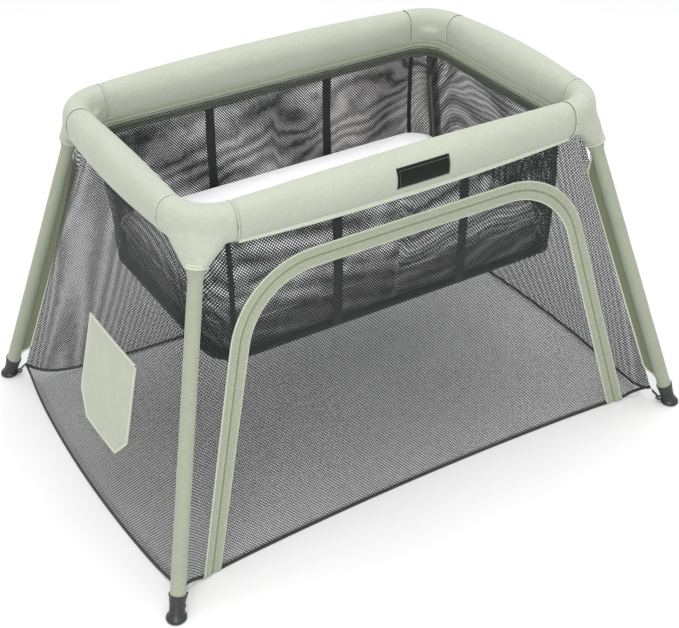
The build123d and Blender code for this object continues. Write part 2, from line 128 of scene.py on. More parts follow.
def lattice(name, rows, closed=False, caps=False, uv=None, sharp=60.0):
    """A mesh over rows of points. Closed joins each row into a ring, caps fills the first and last ring."""
    rows = np.array(rows, float)
    count, across = rows.shape[:2]
    points = [Vector(p) for row in rows for p in row]
    if uv is None:
        middle = rows.mean(axis=1)
        steps_u = np.linalg.norm(np.diff(middle, axis=0), axis=1)
        if steps_u.sum() < 1e-6:
            steps_u = np.linalg.norm(np.diff(rows[:, 0], axis=0), axis=1)
        us = np.concatenate([[0], np.cumsum(steps_u)])
        ring = np.vstack([rows[count // 2], rows[count // 2][:1]]) if closed else rows[count // 2]
        vs = np.concatenate([[0], np.cumsum(np.linalg.norm(np.diff(ring, axis=0), axis=1))])
    faces, uvs = [], []
    for i in range(count - 1):
        for j in range(across if closed else across - 1):
            k = (j + 1) % across
            faces.append((i * across + j, i * across + k, (i + 1) * across + k, (i + 1) * across + j))
            if uv is None:
                uvs += [(us[i], vs[j]), (us[i], vs[j + 1]), (us[i + 1], vs[j + 1]), (us[i + 1], vs[j])]
            else:
                uvs += [uv[i][j], uv[i][k], uv[i + 1][k], uv[i + 1][j]]
    if caps:
        for start, ring in ((0, range(across - 1, -1, -1)), ((count - 1) * across, range(across))):
            centre = sum((points[start + j] for j in ring), Vector()) / across
            points.append(centre)
            hub, order = len(points) - 1, list(ring)
            for a, b in zip(order, order[1:] + order[:1]):
                faces.append((start + a, start + b, hub))
                uvs += [(points[p] - centre).yz for p in (start + a, start + b, hub)]
    mesh = bpy.data.meshes.new(name)
    mesh.from_pydata([tuple(p) for p in points], [], faces)
    layer = mesh.uv_layers.new(name="UVMap")
    layer.data.foreach_set("uv", np.array(uvs, np.float32).ravel())
    mesh.validate()
    finish_mesh(mesh, sharp)
    made = linked(name, mesh)
    if not closed:
        made["cut"] = [float(np.linalg.norm(np.diff(rows, axis=axis), axis=2).sum(axis=axis).max())
                       for axis in (0, 1)]
    return made


def sheet(name, along, across, place):
    """An open mesh over a grid. Place gives a point and its UV for the shares along and across."""
    cells = [[place(i / along, j / across) for j in range(across + 1)] for i in range(along + 1)]
    return lattice(name, [[p for p, _ in row] for row in cells], uv=[[uv for _, uv in row] for row in cells])


def outward(obj):
    """Turns a closed mesh's faces outwards."""
    bm = bmesh.new()
    bm.from_mesh(obj.data)
    bmesh.ops.recalc_face_normals(bm, faces=bm.faces)
    bm.to_mesh(obj.data)
    bm.free()
    return obj


def strip(name, points, up, profile, caps=True, sharp=50.0):
    """A closed section, given as (sideways, up) points, carried along a line and kept square to up."""
    points = [Vector(p) for p in points]
    rows = []
    for i, p in enumerate(points):
        tangent = (points[min(i + 1, len(points) - 1)] - points[max(i - 1, 0)]).normalized()
        rise = (up[i] if isinstance(up, list) else Vector(up)).normalized()
        side = tangent.cross(rise).normalized()
        rise = side.cross(tangent).normalized()
        shape = profile(i / (len(points) - 1)) if callable(profile) else profile
        rows.append([p + side * a + rise * b for a, b in shape])
    return outward(lattice(name, rows, closed=True, caps=caps, sharp=sharp))


def flat_section(wide, thick, ribs=0, rib=0.0, samples=20):
    """A flat tape's section, with lengthwise ribs on its upper face."""
    top = []
    for i in range(samples + 1):
        s = i / samples
        edge = min(1.0, min(s, 1 - s) * samples / 2)
        height = thick / 2 * edge ** 0.5
        if ribs:
            height += rib * (0.5 - 0.5 * math.cos(2 * math.pi * ribs * s)) * edge
        top.append(((s - 0.5) * wide, height))
    low = [(0.47 * wide * s, -thick / 2) for s in (1, 0.5, 0, -0.5, -1)]
    return top + low


def circle(centre, first, second, radius, count, close=False):
    """Points round a circle between two directions, the first repeated at the end where it closes."""
    return [centre + first * (radius * math.cos(a)) + second * (radius * math.sin(a))
            for a in np.linspace(0, 2 * math.pi, count, endpoint=close)]


def superellipse(wide, tall, power, count):
    shape = []
    for k in range(count):
        a = 2 * math.pi * k / count
        c, s = math.cos(a), math.sin(a)
        shape.append((wide / 2 * math.copysign(abs(c) ** (2 / power), c),
                      tall / 2 * math.copysign(abs(s) ** (2 / power), s)))
    return shape


def put(obj, material, body, *nodes, slot=None):
    obj.data.materials.clear()
    obj.data.materials.append(material)
    if body:
        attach(obj, body)
    if nodes:
        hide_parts(*nodes)
    return obj


def declare_sheet(obj):
    """Works out the flat area of a sheet made by lattice, cut flat to the longest of its rows and columns."""
    wide, tall = obj["cut"]
    area = sum(polygon.area for polygon in obj.data.polygons)
    area = min(max(area, 0.301 * wide * tall), wide * tall)


# ---- Materials --------------------------------------------------------------------------------------------

def srgb(r, g, b):
    def linear(c):
        c /= 255
        return c / 12.92 if c <= 0.04045 else ((c + 0.055) / 1.055) ** 2.4
    return (linear(r), linear(g), linear(b), 1.0)


class Graph:
    """A material's node tree with a Principled shader."""

    def __init__(self, name, **sockets):
        self.material = bpy.data.materials.new(name)
        self.material.use_nodes = True
        self.tree = self.material.node_tree
        self.tree.nodes.clear()
        self.shader = self.tree.nodes.new("ShaderNodeBsdfPrincipled")
        output = self.tree.nodes.new("ShaderNodeOutputMaterial")
        self.link(self.shader.outputs[0], output.inputs[0])
        for socket, value in sockets.items():
            self.shader.inputs[socket.replace("_", " ")].default_value = value

    def link(self, source, target):
        self.tree.links.new(source, target)

    def node(self, kind, values=None, **settings):
        made = self.tree.nodes.new("ShaderNode" + kind)
        for key, value in settings.items():
            setattr(made, key, value)
        for key, value in (values or {}).items():
            if isinstance(value, bpy.types.NodeSocket):
                self.link(value, made.inputs[key])
            else:
                made.inputs[key].default_value = value
        return made

    def math(self, operation, *values):
        return self.node("Math", dict(enumerate(values)), operation=operation).outputs[0]

    def uv(self):
        parts = self.node("SeparateXYZ", {0: self.node("TexCoord").outputs["UV"]})
        return parts.outputs[0], parts.outputs[1]

    def place(self):
        return self.node("TexCoord").outputs["Object"]

    def noise(self, scale, detail=2.0, roughness=0.5, vector=None):
        values = {"Scale": scale, "Detail": detail, "Roughness": roughness, "Vector": vector or self.place()}
        return self.node("TexNoise", values).outputs[0]

    def stretched_noise(self, stretch):
        """Noise over the UV metres, at its own number of grains per metre each way."""
        u, v = self.uv()
        vector = self.node("CombineXYZ", {0: self.math("MULTIPLY", u, stretch[0]),
                                          1: self.math("MULTIPLY", v, stretch[1])})
        return self.noise(1.0, 1.0, vector=vector.outputs[0])

    def weave(self, pitch):
        """A plain weave, its threads a pitch apart in metres."""
        waves = [self.math("SINE", self.math("MULTIPLY", part, math.pi / pitch)) for part in self.uv()]
        return self.math("MULTIPLY", *waves)

    def spread(self, value, low, high):
        """A value from 0 to 1 as one between low and high."""
        return self.node("MapRange", {0: value, 3: low, 4: high}).outputs[0]

    def ramp(self, fac, stops):
        made = self.node("ValToRGB", {0: fac})
        elements = made.color_ramp.elements
        while len(elements) < len(stops):
            elements.new(0.5)
        for element, (at, colour) in zip(elements, stops):
            element.position, element.color = at, colour
        return made.outputs[0]

    def blend(self, fac, a, b, kind="MIX"):
        made = self.node("Mix", {0: fac, 6: a, 7: b}, data_type="RGBA", blend_type=kind)
        return made.outputs[2]

    def bump(self, height, distance, strength=1.0, normal=None):
        values = {"Strength": strength, "Distance": distance, "Height": height}
        if normal:
            values["Normal"] = normal
        return self.node("Bump", values).outputs[0]

    def finish(self, colour=None, rough=None, normal=None):
        for socket, value in (("Base Color", colour), ("Roughness", rough), ("Normal", normal)):
            if value is not None:
                self.link(value, self.shader.inputs[socket])
        return self.material


CORD_PITCH, NET_PITCH = 0.0042, 0.0056


def shade(colour, factor):
    return tuple(c * factor for c in colour[:3]) + (1.0,)


def heather(name, colour, streak=0.10, crease=0.0):
    """Melange fabric: a plain weave, lighter and darker threads both ways, and slow variation."""
    g = Graph(name, Sheen_Weight=0.25, Sheen_Roughness=0.45, Specular_IOR_Level=0.25)
    weave = g.weave(0.0013)
    along = g.stretched_noise((90.0, 900.0))
    across = g.stretched_noise((900.0, 90.0))
    threads = g.math("MULTIPLY", g.math("ADD", along, across), 0.5)
    tone = g.ramp(threads, [(0.30, shade(colour, 1 - streak)), (0.5, colour),
                            (0.70, shade(colour, 1 + streak))])
    slow = g.ramp(g.noise(16.0, 3.0), [(0.3, (0.95, 0.955, 0.94, 1)), (0.7, (1.0, 1.0, 1.0, 1))])
    tone = g.blend(1.0, tone, slow, "MULTIPLY")
    fuzz = g.noise(420.0, 3.0, 0.6)
    height = g.math("ADD", g.math("MULTIPLY", weave, 0.5), g.math("MULTIPLY", threads, 1.2))
    normal = g.bump(height, 0.00035, 0.5)
    normal = g.bump(fuzz, 0.0009, 0.30, normal)
    if crease:
        folds = g.noise(38.0, 2.0, 0.55)
        normal = g.bump(folds, crease, 0.5, normal)
    return g.finish(tone, g.spread(threads, 0.78, 0.95), normal)


def tape(name, colour, rib=0.0016):
    """Woven tape with fine cross ribs, thicker cords along it and a slightly polished face."""
    g = Graph(name, Sheen_Weight=0.15, Sheen_Roughness=0.5, Specular_IOR_Level=0.3)
    u, v = g.uv()
    ribs = g.math("SINE", g.math("MULTIPLY", u, 2 * math.pi / rib))
    cords = g.math("SINE", g.math("MULTIPLY", v, 2 * math.pi / CORD_PITCH))
    grain = g.stretched_noise((700.0, 120.0))
    tone = g.ramp(grain, [(0.3, shade(colour, 0.88)), (0.7, shade(colour, 1.10))])
    # the tape is darker in the troughs between its cords: painted shade in the grooves
    edge = g.ramp(cords, [(0.0, (0.90, 0.90, 0.88, 1)), (0.6, (1, 1, 1, 1))])
    tone = g.blend(1.0, tone, edge, "MULTIPLY")
    height = g.math("ADD", g.math("MULTIPLY", ribs, 0.35), g.math("ADD", cords, grain))
    normal = g.bump(height, 0.0006, 0.55)
    return g.finish(tone, g.spread(grain, 0.62, 0.85), normal)


def net(name, colour, share):
    """Open warp-knit net: diamond holes over the UV metres, with threads over a share of each cell."""
    g = Graph(name, Sheen_Weight=0.1, Sheen_Roughness=0.5, Specular_IOR_Level=0.3)
    u, v = g.uv()
    wobble = g.math("MULTIPLY", g.math("SUBTRACT", g.noise(60.0, 1.0), 0.5), 0.0012)
    turn = 2 * math.pi / NET_PITCH
    first = g.math("COSINE", g.math("MULTIPLY", g.math("ADD", u, wobble), turn))
    second = g.math("COSINE", g.math("MULTIPLY", g.math("SUBTRACT", v, wobble), turn * 0.88))
    cell = g.math("ABSOLUTE", g.math("ADD", first, second))
    thread = g.node("MapRange", {0: cell, 1: share - 0.12, 2: share + 0.12, 3: 1.0, 4: 0.0},
                    interpolation_type="SMOOTHSTEP").outputs[0]
    grain = g.noise(900.0, 2.0)
    tone = g.ramp(grain, [(0.3, shade(colour, 0.7)), (0.7, shade(colour, 1.35))])
    g.link(thread, g.shader.inputs["Alpha"])
    normal = g.bump(g.math("MULTIPLY", cell, -1.0), 0.0007, 0.6)
    return g.finish(tone, g.spread(grain, 0.65, 0.9), normal)


def plastic(name, colour, rough):
    """Moulded plastic or rubber, finely grained and worn here and there."""
    g = Graph(name, Specular_IOR_Level=0.5, Coat_Weight=0.12, Coat_Roughness=0.25)
    speck = g.noise(2600.0, 3.0, 0.6)
    wear = g.noise(45.0, 4.0, 0.6)
    tone = g.ramp(wear, [(0.35, colour), (0.75, shade(colour, 1.5))])
    return g.finish(tone, g.spread(wear, rough - 0.07, rough + 0.14), g.bump(speck, 0.0003, 0.35))


def metal(name, colour, rough):
    """Brushed metal with slow clouding."""
    g = Graph(name, Metallic=1.0)
    vector = g.node("Mapping", {0: g.place(), 3: (40.0, 40.0, 900.0)}).outputs[0]
    brushed = g.noise(1.0, 3.0, 0.6, vector)
    cloud = g.noise(30.0, 4.0, 0.6)
    tone = g.ramp(cloud, [(0.3, shade(colour, 0.8)), (0.7, colour)])
    return g.finish(tone, g.spread(brushed, rough - 0.08, rough + 0.15), g.bump(brushed, 0.0002, 0.4))


def soft_cloth(name, colour, pitch, contrast):
    """Plain brushed cotton or a smooth mat cloth."""
    g = Graph(name, Sheen_Weight=0.2, Sheen_Roughness=0.4, Specular_IOR_Level=0.2)
    grain = g.noise(350.0, 4.0, 0.6)
    slow = g.noise(7.0, 3.0, 0.5)
    tone = g.ramp(g.math("MULTIPLY", g.math("ADD", grain, slow), 0.5),
                  [(0.35, shade(colour, 1 - contrast)), (0.65, colour)])
    normal = g.bump(g.weave(pitch), 0.0003, 0.4)
    normal = g.bump(grain, 0.0008, 0.3, normal)
    normal = g.bump(slow, 0.012, 0.12, normal)
    return g.finish(tone, g.spread(grain, 0.8, 0.95), normal)


sage_fabric = heather("sage_fabric", srgb(167, 172, 158), crease=0.004)
# the legs' sleeves: the sage fabric darkened, painted shade for their upright sides that get less light
shaded_leg_fabric = heather("shaded_leg_fabric", srgb(147, 154, 136), crease=0.002)
# the webs: the same fabric much darker, painted shade for the web that sits behind each leg
shaded_web_fabric = heather("shaded_web_fabric", srgb(106, 113, 91), streak=0.08)
sage_piping = heather("sage_piping", srgb(186, 192, 175), streak=0.06)
pocket_fabric = heather("pocket_fabric", srgb(168, 174, 157), streak=0.07)
sage_tape = tape("sage_tape", srgb(156, 163, 143))
zip_tape = tape("zip_coil", srgb(128, 137, 114), rib=0.0013)
black_tape = tape("black_webbing", srgb(46, 49, 49), rib=0.0018)
hem_tape = tape("hem_binding", srgb(38, 41, 41), rib=0.0012)
wall_net = net("wall_net", srgb(34, 36, 36), 0.82)
front_net = net("front_net", srgb(38, 40, 40), 0.68)
bassinet_net = net("bassinet_net", srgb(34, 36, 36), 1.12)
base_cloth = soft_cloth("bassinet_base", srgb(34, 37, 37), 0.0012, 0.3)
mattress_cloth = soft_cloth("mattress_cloth", srgb(248, 248, 250), 0.0009, 0.05)
floor_cloth = soft_cloth("floor_cloth", srgb(247, 247, 247), 0.0014, 0.06)
label_cloth = soft_cloth("label_cloth", srgb(22, 25, 20), 0.0010, 0.25)
label_thread = tape("label_thread", srgb(92, 96, 88), rib=0.0008)
rubber = plastic("foot_rubber", srgb(30, 31, 32), 0.42)
black_plastic = plastic("black_plastic", srgb(26, 27, 28), 0.33)
pale_plastic = plastic("zip_pull_plastic", srgb(168, 190, 140), 0.4)
steel = metal("steel_tube", srgb(176, 178, 180), 0.32)
zinc = metal("zinc_steel", srgb(190, 190, 186), 0.38)
zip_metal = metal("zip_metal", srgb(150, 156, 146), 0.3)

NODE_MATERIALS = {"rim_tubes": steel, "leg_tube": steel, "hinge_pins": zinc, "leg_pins": zinc,
                  "hinge_link": zinc, "zip_slider": zip_metal, "zip_pull": pale_plastic}
for node_name, obj in frame["nodes"].items():
    chosen = next((m for start, m in NODE_MATERIALS.items() if node_name.startswith(start)), black_plastic)
    for material_slot in obj.material_slots:
        material_slot.material = chosen
    if not obj.material_slots:
        obj.data.materials.append(chosen)


# ---- Cloth and cut pieces ---------------------------------------------------------------------------------

SWELL_FRAMES, CLOTH_MASS = 20, 0.25


def inflate(obj, pressure, cap, pinned):
    """Swells a closed mesh with a short cloth simulation, by no more than the cap. Pinned tells which
    vertices stay."""
    rest = np.array([v.co for v in obj.data.vertices])
    group = obj.vertex_groups.new(name="pin")
    group.add([v.index for v in obj.data.vertices if pinned(v.co)], 1.0, "REPLACE")
    cloth = obj.modifiers.new("Cloth", "CLOTH")
    settings = cloth.settings
    settings.quality = 5
    settings.mass = CLOTH_MASS
    settings.tension_stiffness = settings.compression_stiffness = 12
    settings.shear_stiffness = 6
    settings.bending_stiffness = 0.6
    settings.use_pressure = True
    settings.uniform_pressure_force = pressure
    settings.effector_weights.gravity = 0
    settings.vertex_group_mass = "pin"
    cloth.collision_settings.use_collision = False
    cloth.point_cache.frame_start, cloth.point_cache.frame_end = 1, SWELL_FRAMES
    scene = bpy.context.scene
    for step in range(1, SWELL_FRAMES + 1):
        scene.frame_set(step)
    shaped = obj.evaluated_get(bpy.context.evaluated_depsgraph_get()).data
    moved = np.array([v.co for v in shaped.vertices]) - rest
    length = np.linalg.norm(moved, axis=1, keepdims=True)
    moved *= np.minimum(1, cap / np.maximum(length, 1e-9))
    obj.modifiers.remove(cloth)
    obj.vertex_groups.remove(group)
    scene.frame_set(1)
    obj.data.vertices.foreach_set("co", (rest + moved).astype(np.float32).ravel())
    obj.data.update()


def subdivide(obj):
    modifier = obj.modifiers.new("Subdivision", "SUBSURF")
    modifier.levels = modifier.render_levels = 1
    shaped = bpy.data.meshes.new_from_object(obj.evaluated_get(bpy.context.evaluated_depsgraph_get()))
    obj.modifiers.remove(modifier)
    old, obj.data = obj.data, shaped
    shaped.name = obj.name
    bpy.data.meshes.remove(old)


def half_piece(obj, name, sx):
    """A copy of one side of a closed piece, cut on the middle plane and closed there."""
    bm = bmesh.new()
    bm.from_mesh(obj.data)
    geometry = bm.verts[:] + bm.edges[:] + bm.faces[:]
    bmesh.ops.bisect_plane(bm, geom=geometry, plane_co=(0, 0, 0), plane_no=(-sx, 0, 0), clear_outer=True,
                           dist=1e-5)
    edges = [e for e in bm.edges if e.is_boundary and all(abs(v.co.x) < 1e-4 for v in e.verts)]
    bmesh.ops.contextual_create(bm, geom=edges)
    made = from_bmesh(name, bm)
    finish_mesh(made.data)
    return made


def join(name, pieces):
    bm = bmesh.new()
    for piece in pieces:
        bm.from_mesh(piece.data)
        bpy.data.objects.remove(piece)
    made = from_bmesh(name, bm)
    made.data.shade_smooth()
    return made


# ---- Rim --------------------------------------------------------------------------------------------------

# each rail's line is an arc, bowed out by RIM_BOW at its middle
RIM_X, RIM_Y = END_X - RIM_BOW, RAIL_Y - RIM_BOW
LONG_R = RIM_X ** 2 / (2 * RIM_BOW) + RIM_BOW / 2
END_R = RIM_Y ** 2 / (2 * RIM_BOW) + RIM_BOW / 2


def rim_corner():
    """Centre of the corner's arc, and where it meets the long rail and the end rail."""
    cx, cy = END_X - END_R, RAIL_Y - LONG_R
    r_end, r_long = END_R - CORNER_R, LONG_R - CORNER_R
    apart = math.hypot(cx, cy)
    along = (r_long ** 2 - r_end ** 2 + apart ** 2) / (2 * apart)
    across = math.sqrt(r_long ** 2 - along ** 2)
    ux, uy = cx / apart, -cy / apart
    px, py = ux * along + uy * across, cy + uy * along - ux * across
    if px < 0 or py < 0:
        px, py = ux * along - uy * across, cy + uy * along + ux * across
    on_long = (px * LONG_R / r_long, cy + (py - cy) * LONG_R / r_long)
    on_end = (cx + (px - cx) * END_R / r_end, py * END_R / r_end)
    return (px, py), on_long, on_end


CORNER_CENTRE, ON_LONG, ON_END = rim_corner()
SEAM = 0.0006                         # left open between a pad and a corner cover
SEAM_LOW, SEAM_HIGH, SEAM_WIDE = RIM_LOW + 0.007, RIM_HIGH - 0.003, 0.050
PAD_SWELL = 0.011                     # how much wider a pad is at its middle than the CAD's
PRESSURE, PAD_CAP, PAD_PINNED = 4.0, 0.0045, 0.012


def long_rail_y(x):
    return RAIL_Y - LONG_R + math.sqrt(LONG_R ** 2 - x * x)


def end_rail_x(y):
    return END_X - END_R + math.sqrt(END_R ** 2 - y * y)


def rail_section(wide, tall, count=32):
    """A rail pad's section: rounded, but hanging straight down on the yard's inner side."""
    shape = []
    for k in range(count):
        a = 2 * math.pi * k / count
        c, s = math.cos(a), math.sin(a)
        power = 2.3 + 2.2 * smoothstep(-c * 2) * smoothstep(-s * 2)
        shape.append((wide / 2 * math.copysign(abs(c) ** (2 / power), c),
                      tall / 2 * math.copysign(abs(s) ** (2 / power), s)))
    return shape


def around(p, n, z, section):
    """A section's points about a plan point, sideways along n."""
    middle = Vector((p[0], p[1], z))
    return [middle + n * a + Vector((0, 0, b)) for a, b in section]


def pad_rows(line, out, limit, bottom, top):
    """Rings of a rim pad: full in its middle, drawn in at the seams where it meets the corner covers."""
    count = len(line)
    rows = []
    for i, (p, n) in enumerate(zip(line, out)):
        t = abs(2 * i / (count - 1) - 1)
        to_seam = (1 - t) * limit
        crown = 1 - t ** 1.9
        low = mix(SEAM_LOW, bottom, crown)
        high = mix(SEAM_HIGH, top, crown)
        wide = mix(SEAM_WIDE, PAD_WIDE + PAD_SWELL, crown)
        tuck = 1 - 0.07 * max(0.0, 1 - to_seam / 0.006) ** 2
        rows.append(around(p, n, (low + high) / 2, rail_section(wide * tuck, (high - low) * tuck)))
    for end, step in ((0, -1), (-1, 1)):
        ring, inner = rows[end], rows[1] if end == 0 else rows[-2]
        centre = sum(ring, Vector()) / len(ring)
        away = (centre - sum(inner, Vector()) / len(inner)).normalized()
        for share, reach in ((0.86, 0.0004), (0.5, 0.0006)):
            extra = [centre + (q - centre) * share + away * reach for q in ring]
            rows = rows + [extra] if step > 0 else [extra] + rows
    return rows


def blend_to_link(obj):
    """Bakes the piece's placement into its mesh."""
    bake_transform(obj)


def build_long_pads():
    """The long rails' pads, one to each half. Gives back the front ones."""
    reach = ON_LONG[0] - SEAM
    made = []
    xs = np.linspace(-reach, reach, 113)
    for name, sy in FRONTS.items():
        line = [(x, sy * long_rail_y(x)) for x in xs]
        out = [Vector((0, sy, 0))] * len(xs)
        rows = pad_rows(line, out, reach, RIM_LOW + 0.003, RIM_HIGH + 0.006)
        whole = outward(lattice("pad_whole", rows, closed=True, caps=True))
        inflate(whole, PRESSURE, PAD_CAP, lambda co: abs(co.x) > reach - PAD_PINNED)
        subdivide(whole)
        for side, sx in SIDES.items():
            pad = half_piece(whole, f"rim_pad_{name}_{side}", sx)
            put(pad, sage_fabric, None, f"rim_pad_{name}_{side}", f"hinge_sleeve_{name}",
                slot="sage_fabric")
            blend_to_link(pad)
            made.append(pad)
        bpy.data.objects.remove(whole)
    return made[:2]


def build_end_pads():
    reach = ON_END[1] - SEAM
    ys = np.linspace(-reach, reach, 63)
    for side, sx in SIDES.items():
        line = [(sx * end_rail_x(y), y) for y in ys]
        out = [Vector((sx, 0, 0))] * len(ys)
        rows = pad_rows(line, out, reach, RIM_LOW + 0.004, RIM_HIGH + 0.004)
        pad = outward(lattice(f"rim_pad_end_{side}", rows, closed=True, caps=True))
        inflate(pad, PRESSURE, PAD_CAP, lambda co: abs(co.y) > reach - PAD_PINNED)
        subdivide(pad)
        put(pad, sage_fabric, f"{side}_frame", f"rim_pad_end_{side}", slot="sage_fabric")


def build_seams():
    """Thin piping in the seams between the rim pads and the corner covers."""
    for front, side, sx, sy in CORNERS:
        line = corner_line(sx, sy, 60)
        for end, name in ((0, "long"), (-1, "end")):
            p, n = line[end]
            middle_z = (SEAM_LOW + SEAM_HIGH) / 2
            ring = around(p, n, middle_z, rail_section(SEAM_WIDE, SEAM_HIGH - SEAM_LOW, 72))
            outs = [(q - Vector((p[0], p[1], middle_z))).normalized() for q in ring]
            cord = strip(f"seam_{name}_{front}_{side}", ring + ring[:2], outs + outs[:2],
                         superellipse(0.0022, 0.0022, 2.0, 8), caps=False)
            put(cord, sage_piping, f"{side}_frame", slot="sage_fabric")


LIP_OUT, LIP_LOW, LIP_END = 0.011, RIM_LOW + 0.009, RIM_LOW + 0.016


def build_lips():
    """Sewn lip under each rail's outer edge, that the walls hang from."""
    reach = ON_LONG[0] - 0.004
    section = [(a, b - 0.006) for a, b in superellipse(0.0042, 0.012, 3.0, 12)]
    for front, side, sx, sy in CORNERS:
        points = []
        for x in np.linspace(0, reach, 46):
            z = mix(LIP_END, LIP_LOW, 1 - (x / reach) ** 2.4)
            points.append((sx * x, sy * (long_rail_y(x) + LIP_OUT), z))
        lip = strip(f"rim_lip_{front}_{side}", points, (0, 0, 1), section)
        put(lip, sage_piping, None, slot="sage_fabric")
        blend_to_link(lip)


# ---- Legs -------------------------------------------------------------------------------------------------

def leg_at(z):
    """How far out the leg's axis is at a height, along X and along Y."""
    share = (PIVOT.z - z) / PIVOT.z
    return mix(PIVOT.x, FOOT.x, share), mix(PIVOT.y, FOOT.y, share)


def leg_point(sx, sy, z):
    x, y = leg_at(z)
    return Vector((sx * x, sy * y, z))


def leg_up(sx, sy):
    return (leg_point(sx, sy, 1.0) - leg_point(sx, sy, 0.0)).normalized()


def about_leg(sx, sy, along):
    """A point on the leg's axis, measured up the leg from its pivot."""
    return leg_point(sx, sy, PIVOT.z) + leg_up(sx, sy) * along


def corner_line(sx, sy, count):
    cx, cy = CORNER_CENTRE
    first = math.atan2(ON_LONG[1] - cy, ON_LONG[0] - cx)
    last = math.atan2(ON_END[1] - cy, ON_END[0] - cx)
    points = []
    for i in range(count):
        a = mix(first, last, i / (count - 1))
        points.append(((sx * (cx + CORNER_R * math.cos(a)), sy * (cy + CORNER_R * math.sin(a))),
                       Vector((sx * math.cos(a), sy * math.sin(a), 0))))
    return points


def tube_rows(axis_points, up, radii, count):
    side = up.orthogonal().normalized()
    return [circle(p, side, up.cross(side), r, count) for p, r in zip(axis_points, radii)]


def cover_uvs(obj, sx, sy):
    """UVs for a remeshed cover: angle round the corner, and angle round the rail's section."""
    cx, cy = CORNER_CENTRE
    middle = (RIM_LOW + RIM_HIGH) / 2
    mesh = obj.data
    layer = mesh.uv_layers.new(name="UVMap")
    section_r = 0.026
    span = 2 * math.pi * section_r
    values = np.zeros((len(mesh.loops), 2), np.float32)
    for polygon in mesh.polygons:
        base = None
        for index in polygon.loop_indices:
            co = mesh.vertices[mesh.loops[index].vertex_index].co
            dx, dy = co.x * sx - cx, co.y * sy - cy
            v = math.atan2(co.z - middle, math.hypot(dx, dy) - CORNER_R) * section_r
            if base is None:
                base = v
            v += span * round((base - v) / span)
            values[index] = (math.atan2(dy, dx) * CORNER_R, v)
    layer.data.foreach_set("uv", values.ravel())


def remeshed(name, parts, voxel, smooth):
    """The parts joined into one closed skin, smoothed."""
    obj = join(name, parts)
    modifier = obj.modifiers.new("Remesh", "REMESH")
    modifier.mode, modifier.voxel_size = "VOXEL", voxel
    skin = bpy.data.meshes.new_from_object(obj.evaluated_get(bpy.context.evaluated_depsgraph_get()))
    obj.modifiers.remove(modifier)
    old, obj.data = obj.data, skin
    bpy.data.meshes.remove(old)
    bm = bmesh.new()
    bm.from_mesh(skin)
    for _ in range(smooth):
        bmesh.ops.smooth_vert(bm, verts=bm.verts, factor=0.5, use_axis_x=True, use_axis_y=True,
                              use_axis_z=True)
    bm.to_mesh(skin)
    bm.free()
    skin.shade_smooth()
    return obj


def hull(name, points):
    """A closed skin stretched over the points."""
    bm = bmesh.new()
    for point in points:
        bm.verts.new(point)
    inside = bmesh.ops.convex_hull(bm, input=bm.verts)["geom_interior"]
    bmesh.ops.delete(bm, geom=[g for g in inside if isinstance(g, bmesh.types.BMVert)], context="VERTS")
    return from_bmesh(name, bm)


def blend_to_leg(obj, front, side):
    """Bakes the cover's placement into its mesh."""
    sx, sy = SIDES[side], FRONTS[front]
    about_leg(sx, sy, 0.026)
    about_leg(sx, sy, -0.012)
    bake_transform(obj)


SOCK_LOW, SOCK_R = -0.001, 0.0205     # the sock's lower end, measured up the leg from its pivot
SOCK_RINGS = (SOCK_LOW, SOCK_LOW + 0.005, 0.020, 0.038)
COVER_VOXEL, COVER_SMOOTH = 0.0028, 7
# heights above the seam's low edge, and half widths, where the sock meets the cover's body
SOCK_SHOULDERS = ((0.008, 0.0175), (0.020, 0.0225), (0.034, 0.0240))


def build_corner_covers():
    ease = 0.0008
    for front, side, sx, sy in CORNERS:
        line = corner_line(sx, sy, 25)
        section = rail_section(SEAM_WIDE + ease, SEAM_HIGH - SEAM_LOW + ease)
        rows = [around(p, n, (SEAM_LOW + SEAM_HIGH) / 2, section) for p, n in line]
        for end, inner in ((0, 1), (-1, -2)):
            run = (sum(rows[end], Vector()) - sum(rows[inner], Vector())).normalized() * ease
            rows[end] = [q + run for q in rows[end]]
        body = outward(lattice("cover_body", rows, closed=True, caps=True))
        up = leg_up(sx, sy)
        points = []
        for along in SOCK_RINGS:
            points += circle(about_leg(sx, sy, along), Vector((1, 0, 0)), Vector((0, 1, 0)), SOCK_R, 32)
        for p, n in line[3:-3]:
            for rise, half in SOCK_SHOULDERS:
                points += around(p, n, SEAM_LOW + rise, ((half, 0), (-half, 0)))
        sock = hull("cover_sock", points)
        cover = remeshed(f"corner_cover_{front}_{side}", [body, sock], COVER_VOXEL, COVER_SMOOTH)
        cover_uvs(cover, sx, sy)
        put(cover, sage_fabric, None, f"corner_covers_{side}", slot="sage_fabric")
        blend_to_leg(cover, front, side)
        for number, along in enumerate((SOCK_LOW - 0.0006, SOCK_LOW + 0.0038)):
            flat = up.orthogonal().normalized()
            ring = circle(about_leg(sx, sy, along), flat, up.cross(flat), SOCK_R - 0.0010, 41, close=True)
            hem = strip(f"sock_hem_{number}_{front}_{side}", ring, up,
                        superellipse(0.0022, 0.0036, 2.2, 10), caps=False)
            put(hem, sage_piping, None, slot="sage_fabric")
            blend_to_leg(hem, front, side)


SLEEVE_R, WEB_ROOT = 0.0124, 0.009
WEB_REACH = 0.030                     # from the leg's axis diagonally in to where the walls are sewn on
WALL_INSET = WEB_REACH / math.sqrt(2)


def leg_diagonal(sx, sy):
    """From a leg towards the yard's middle, square to the leg, and the direction across it."""
    up = leg_up(sx, sy)
    towards = Vector((-sx, -sy, 0))
    inward = (towards - up * towards.dot(up)).normalized()
    return inward, up.cross(inward)


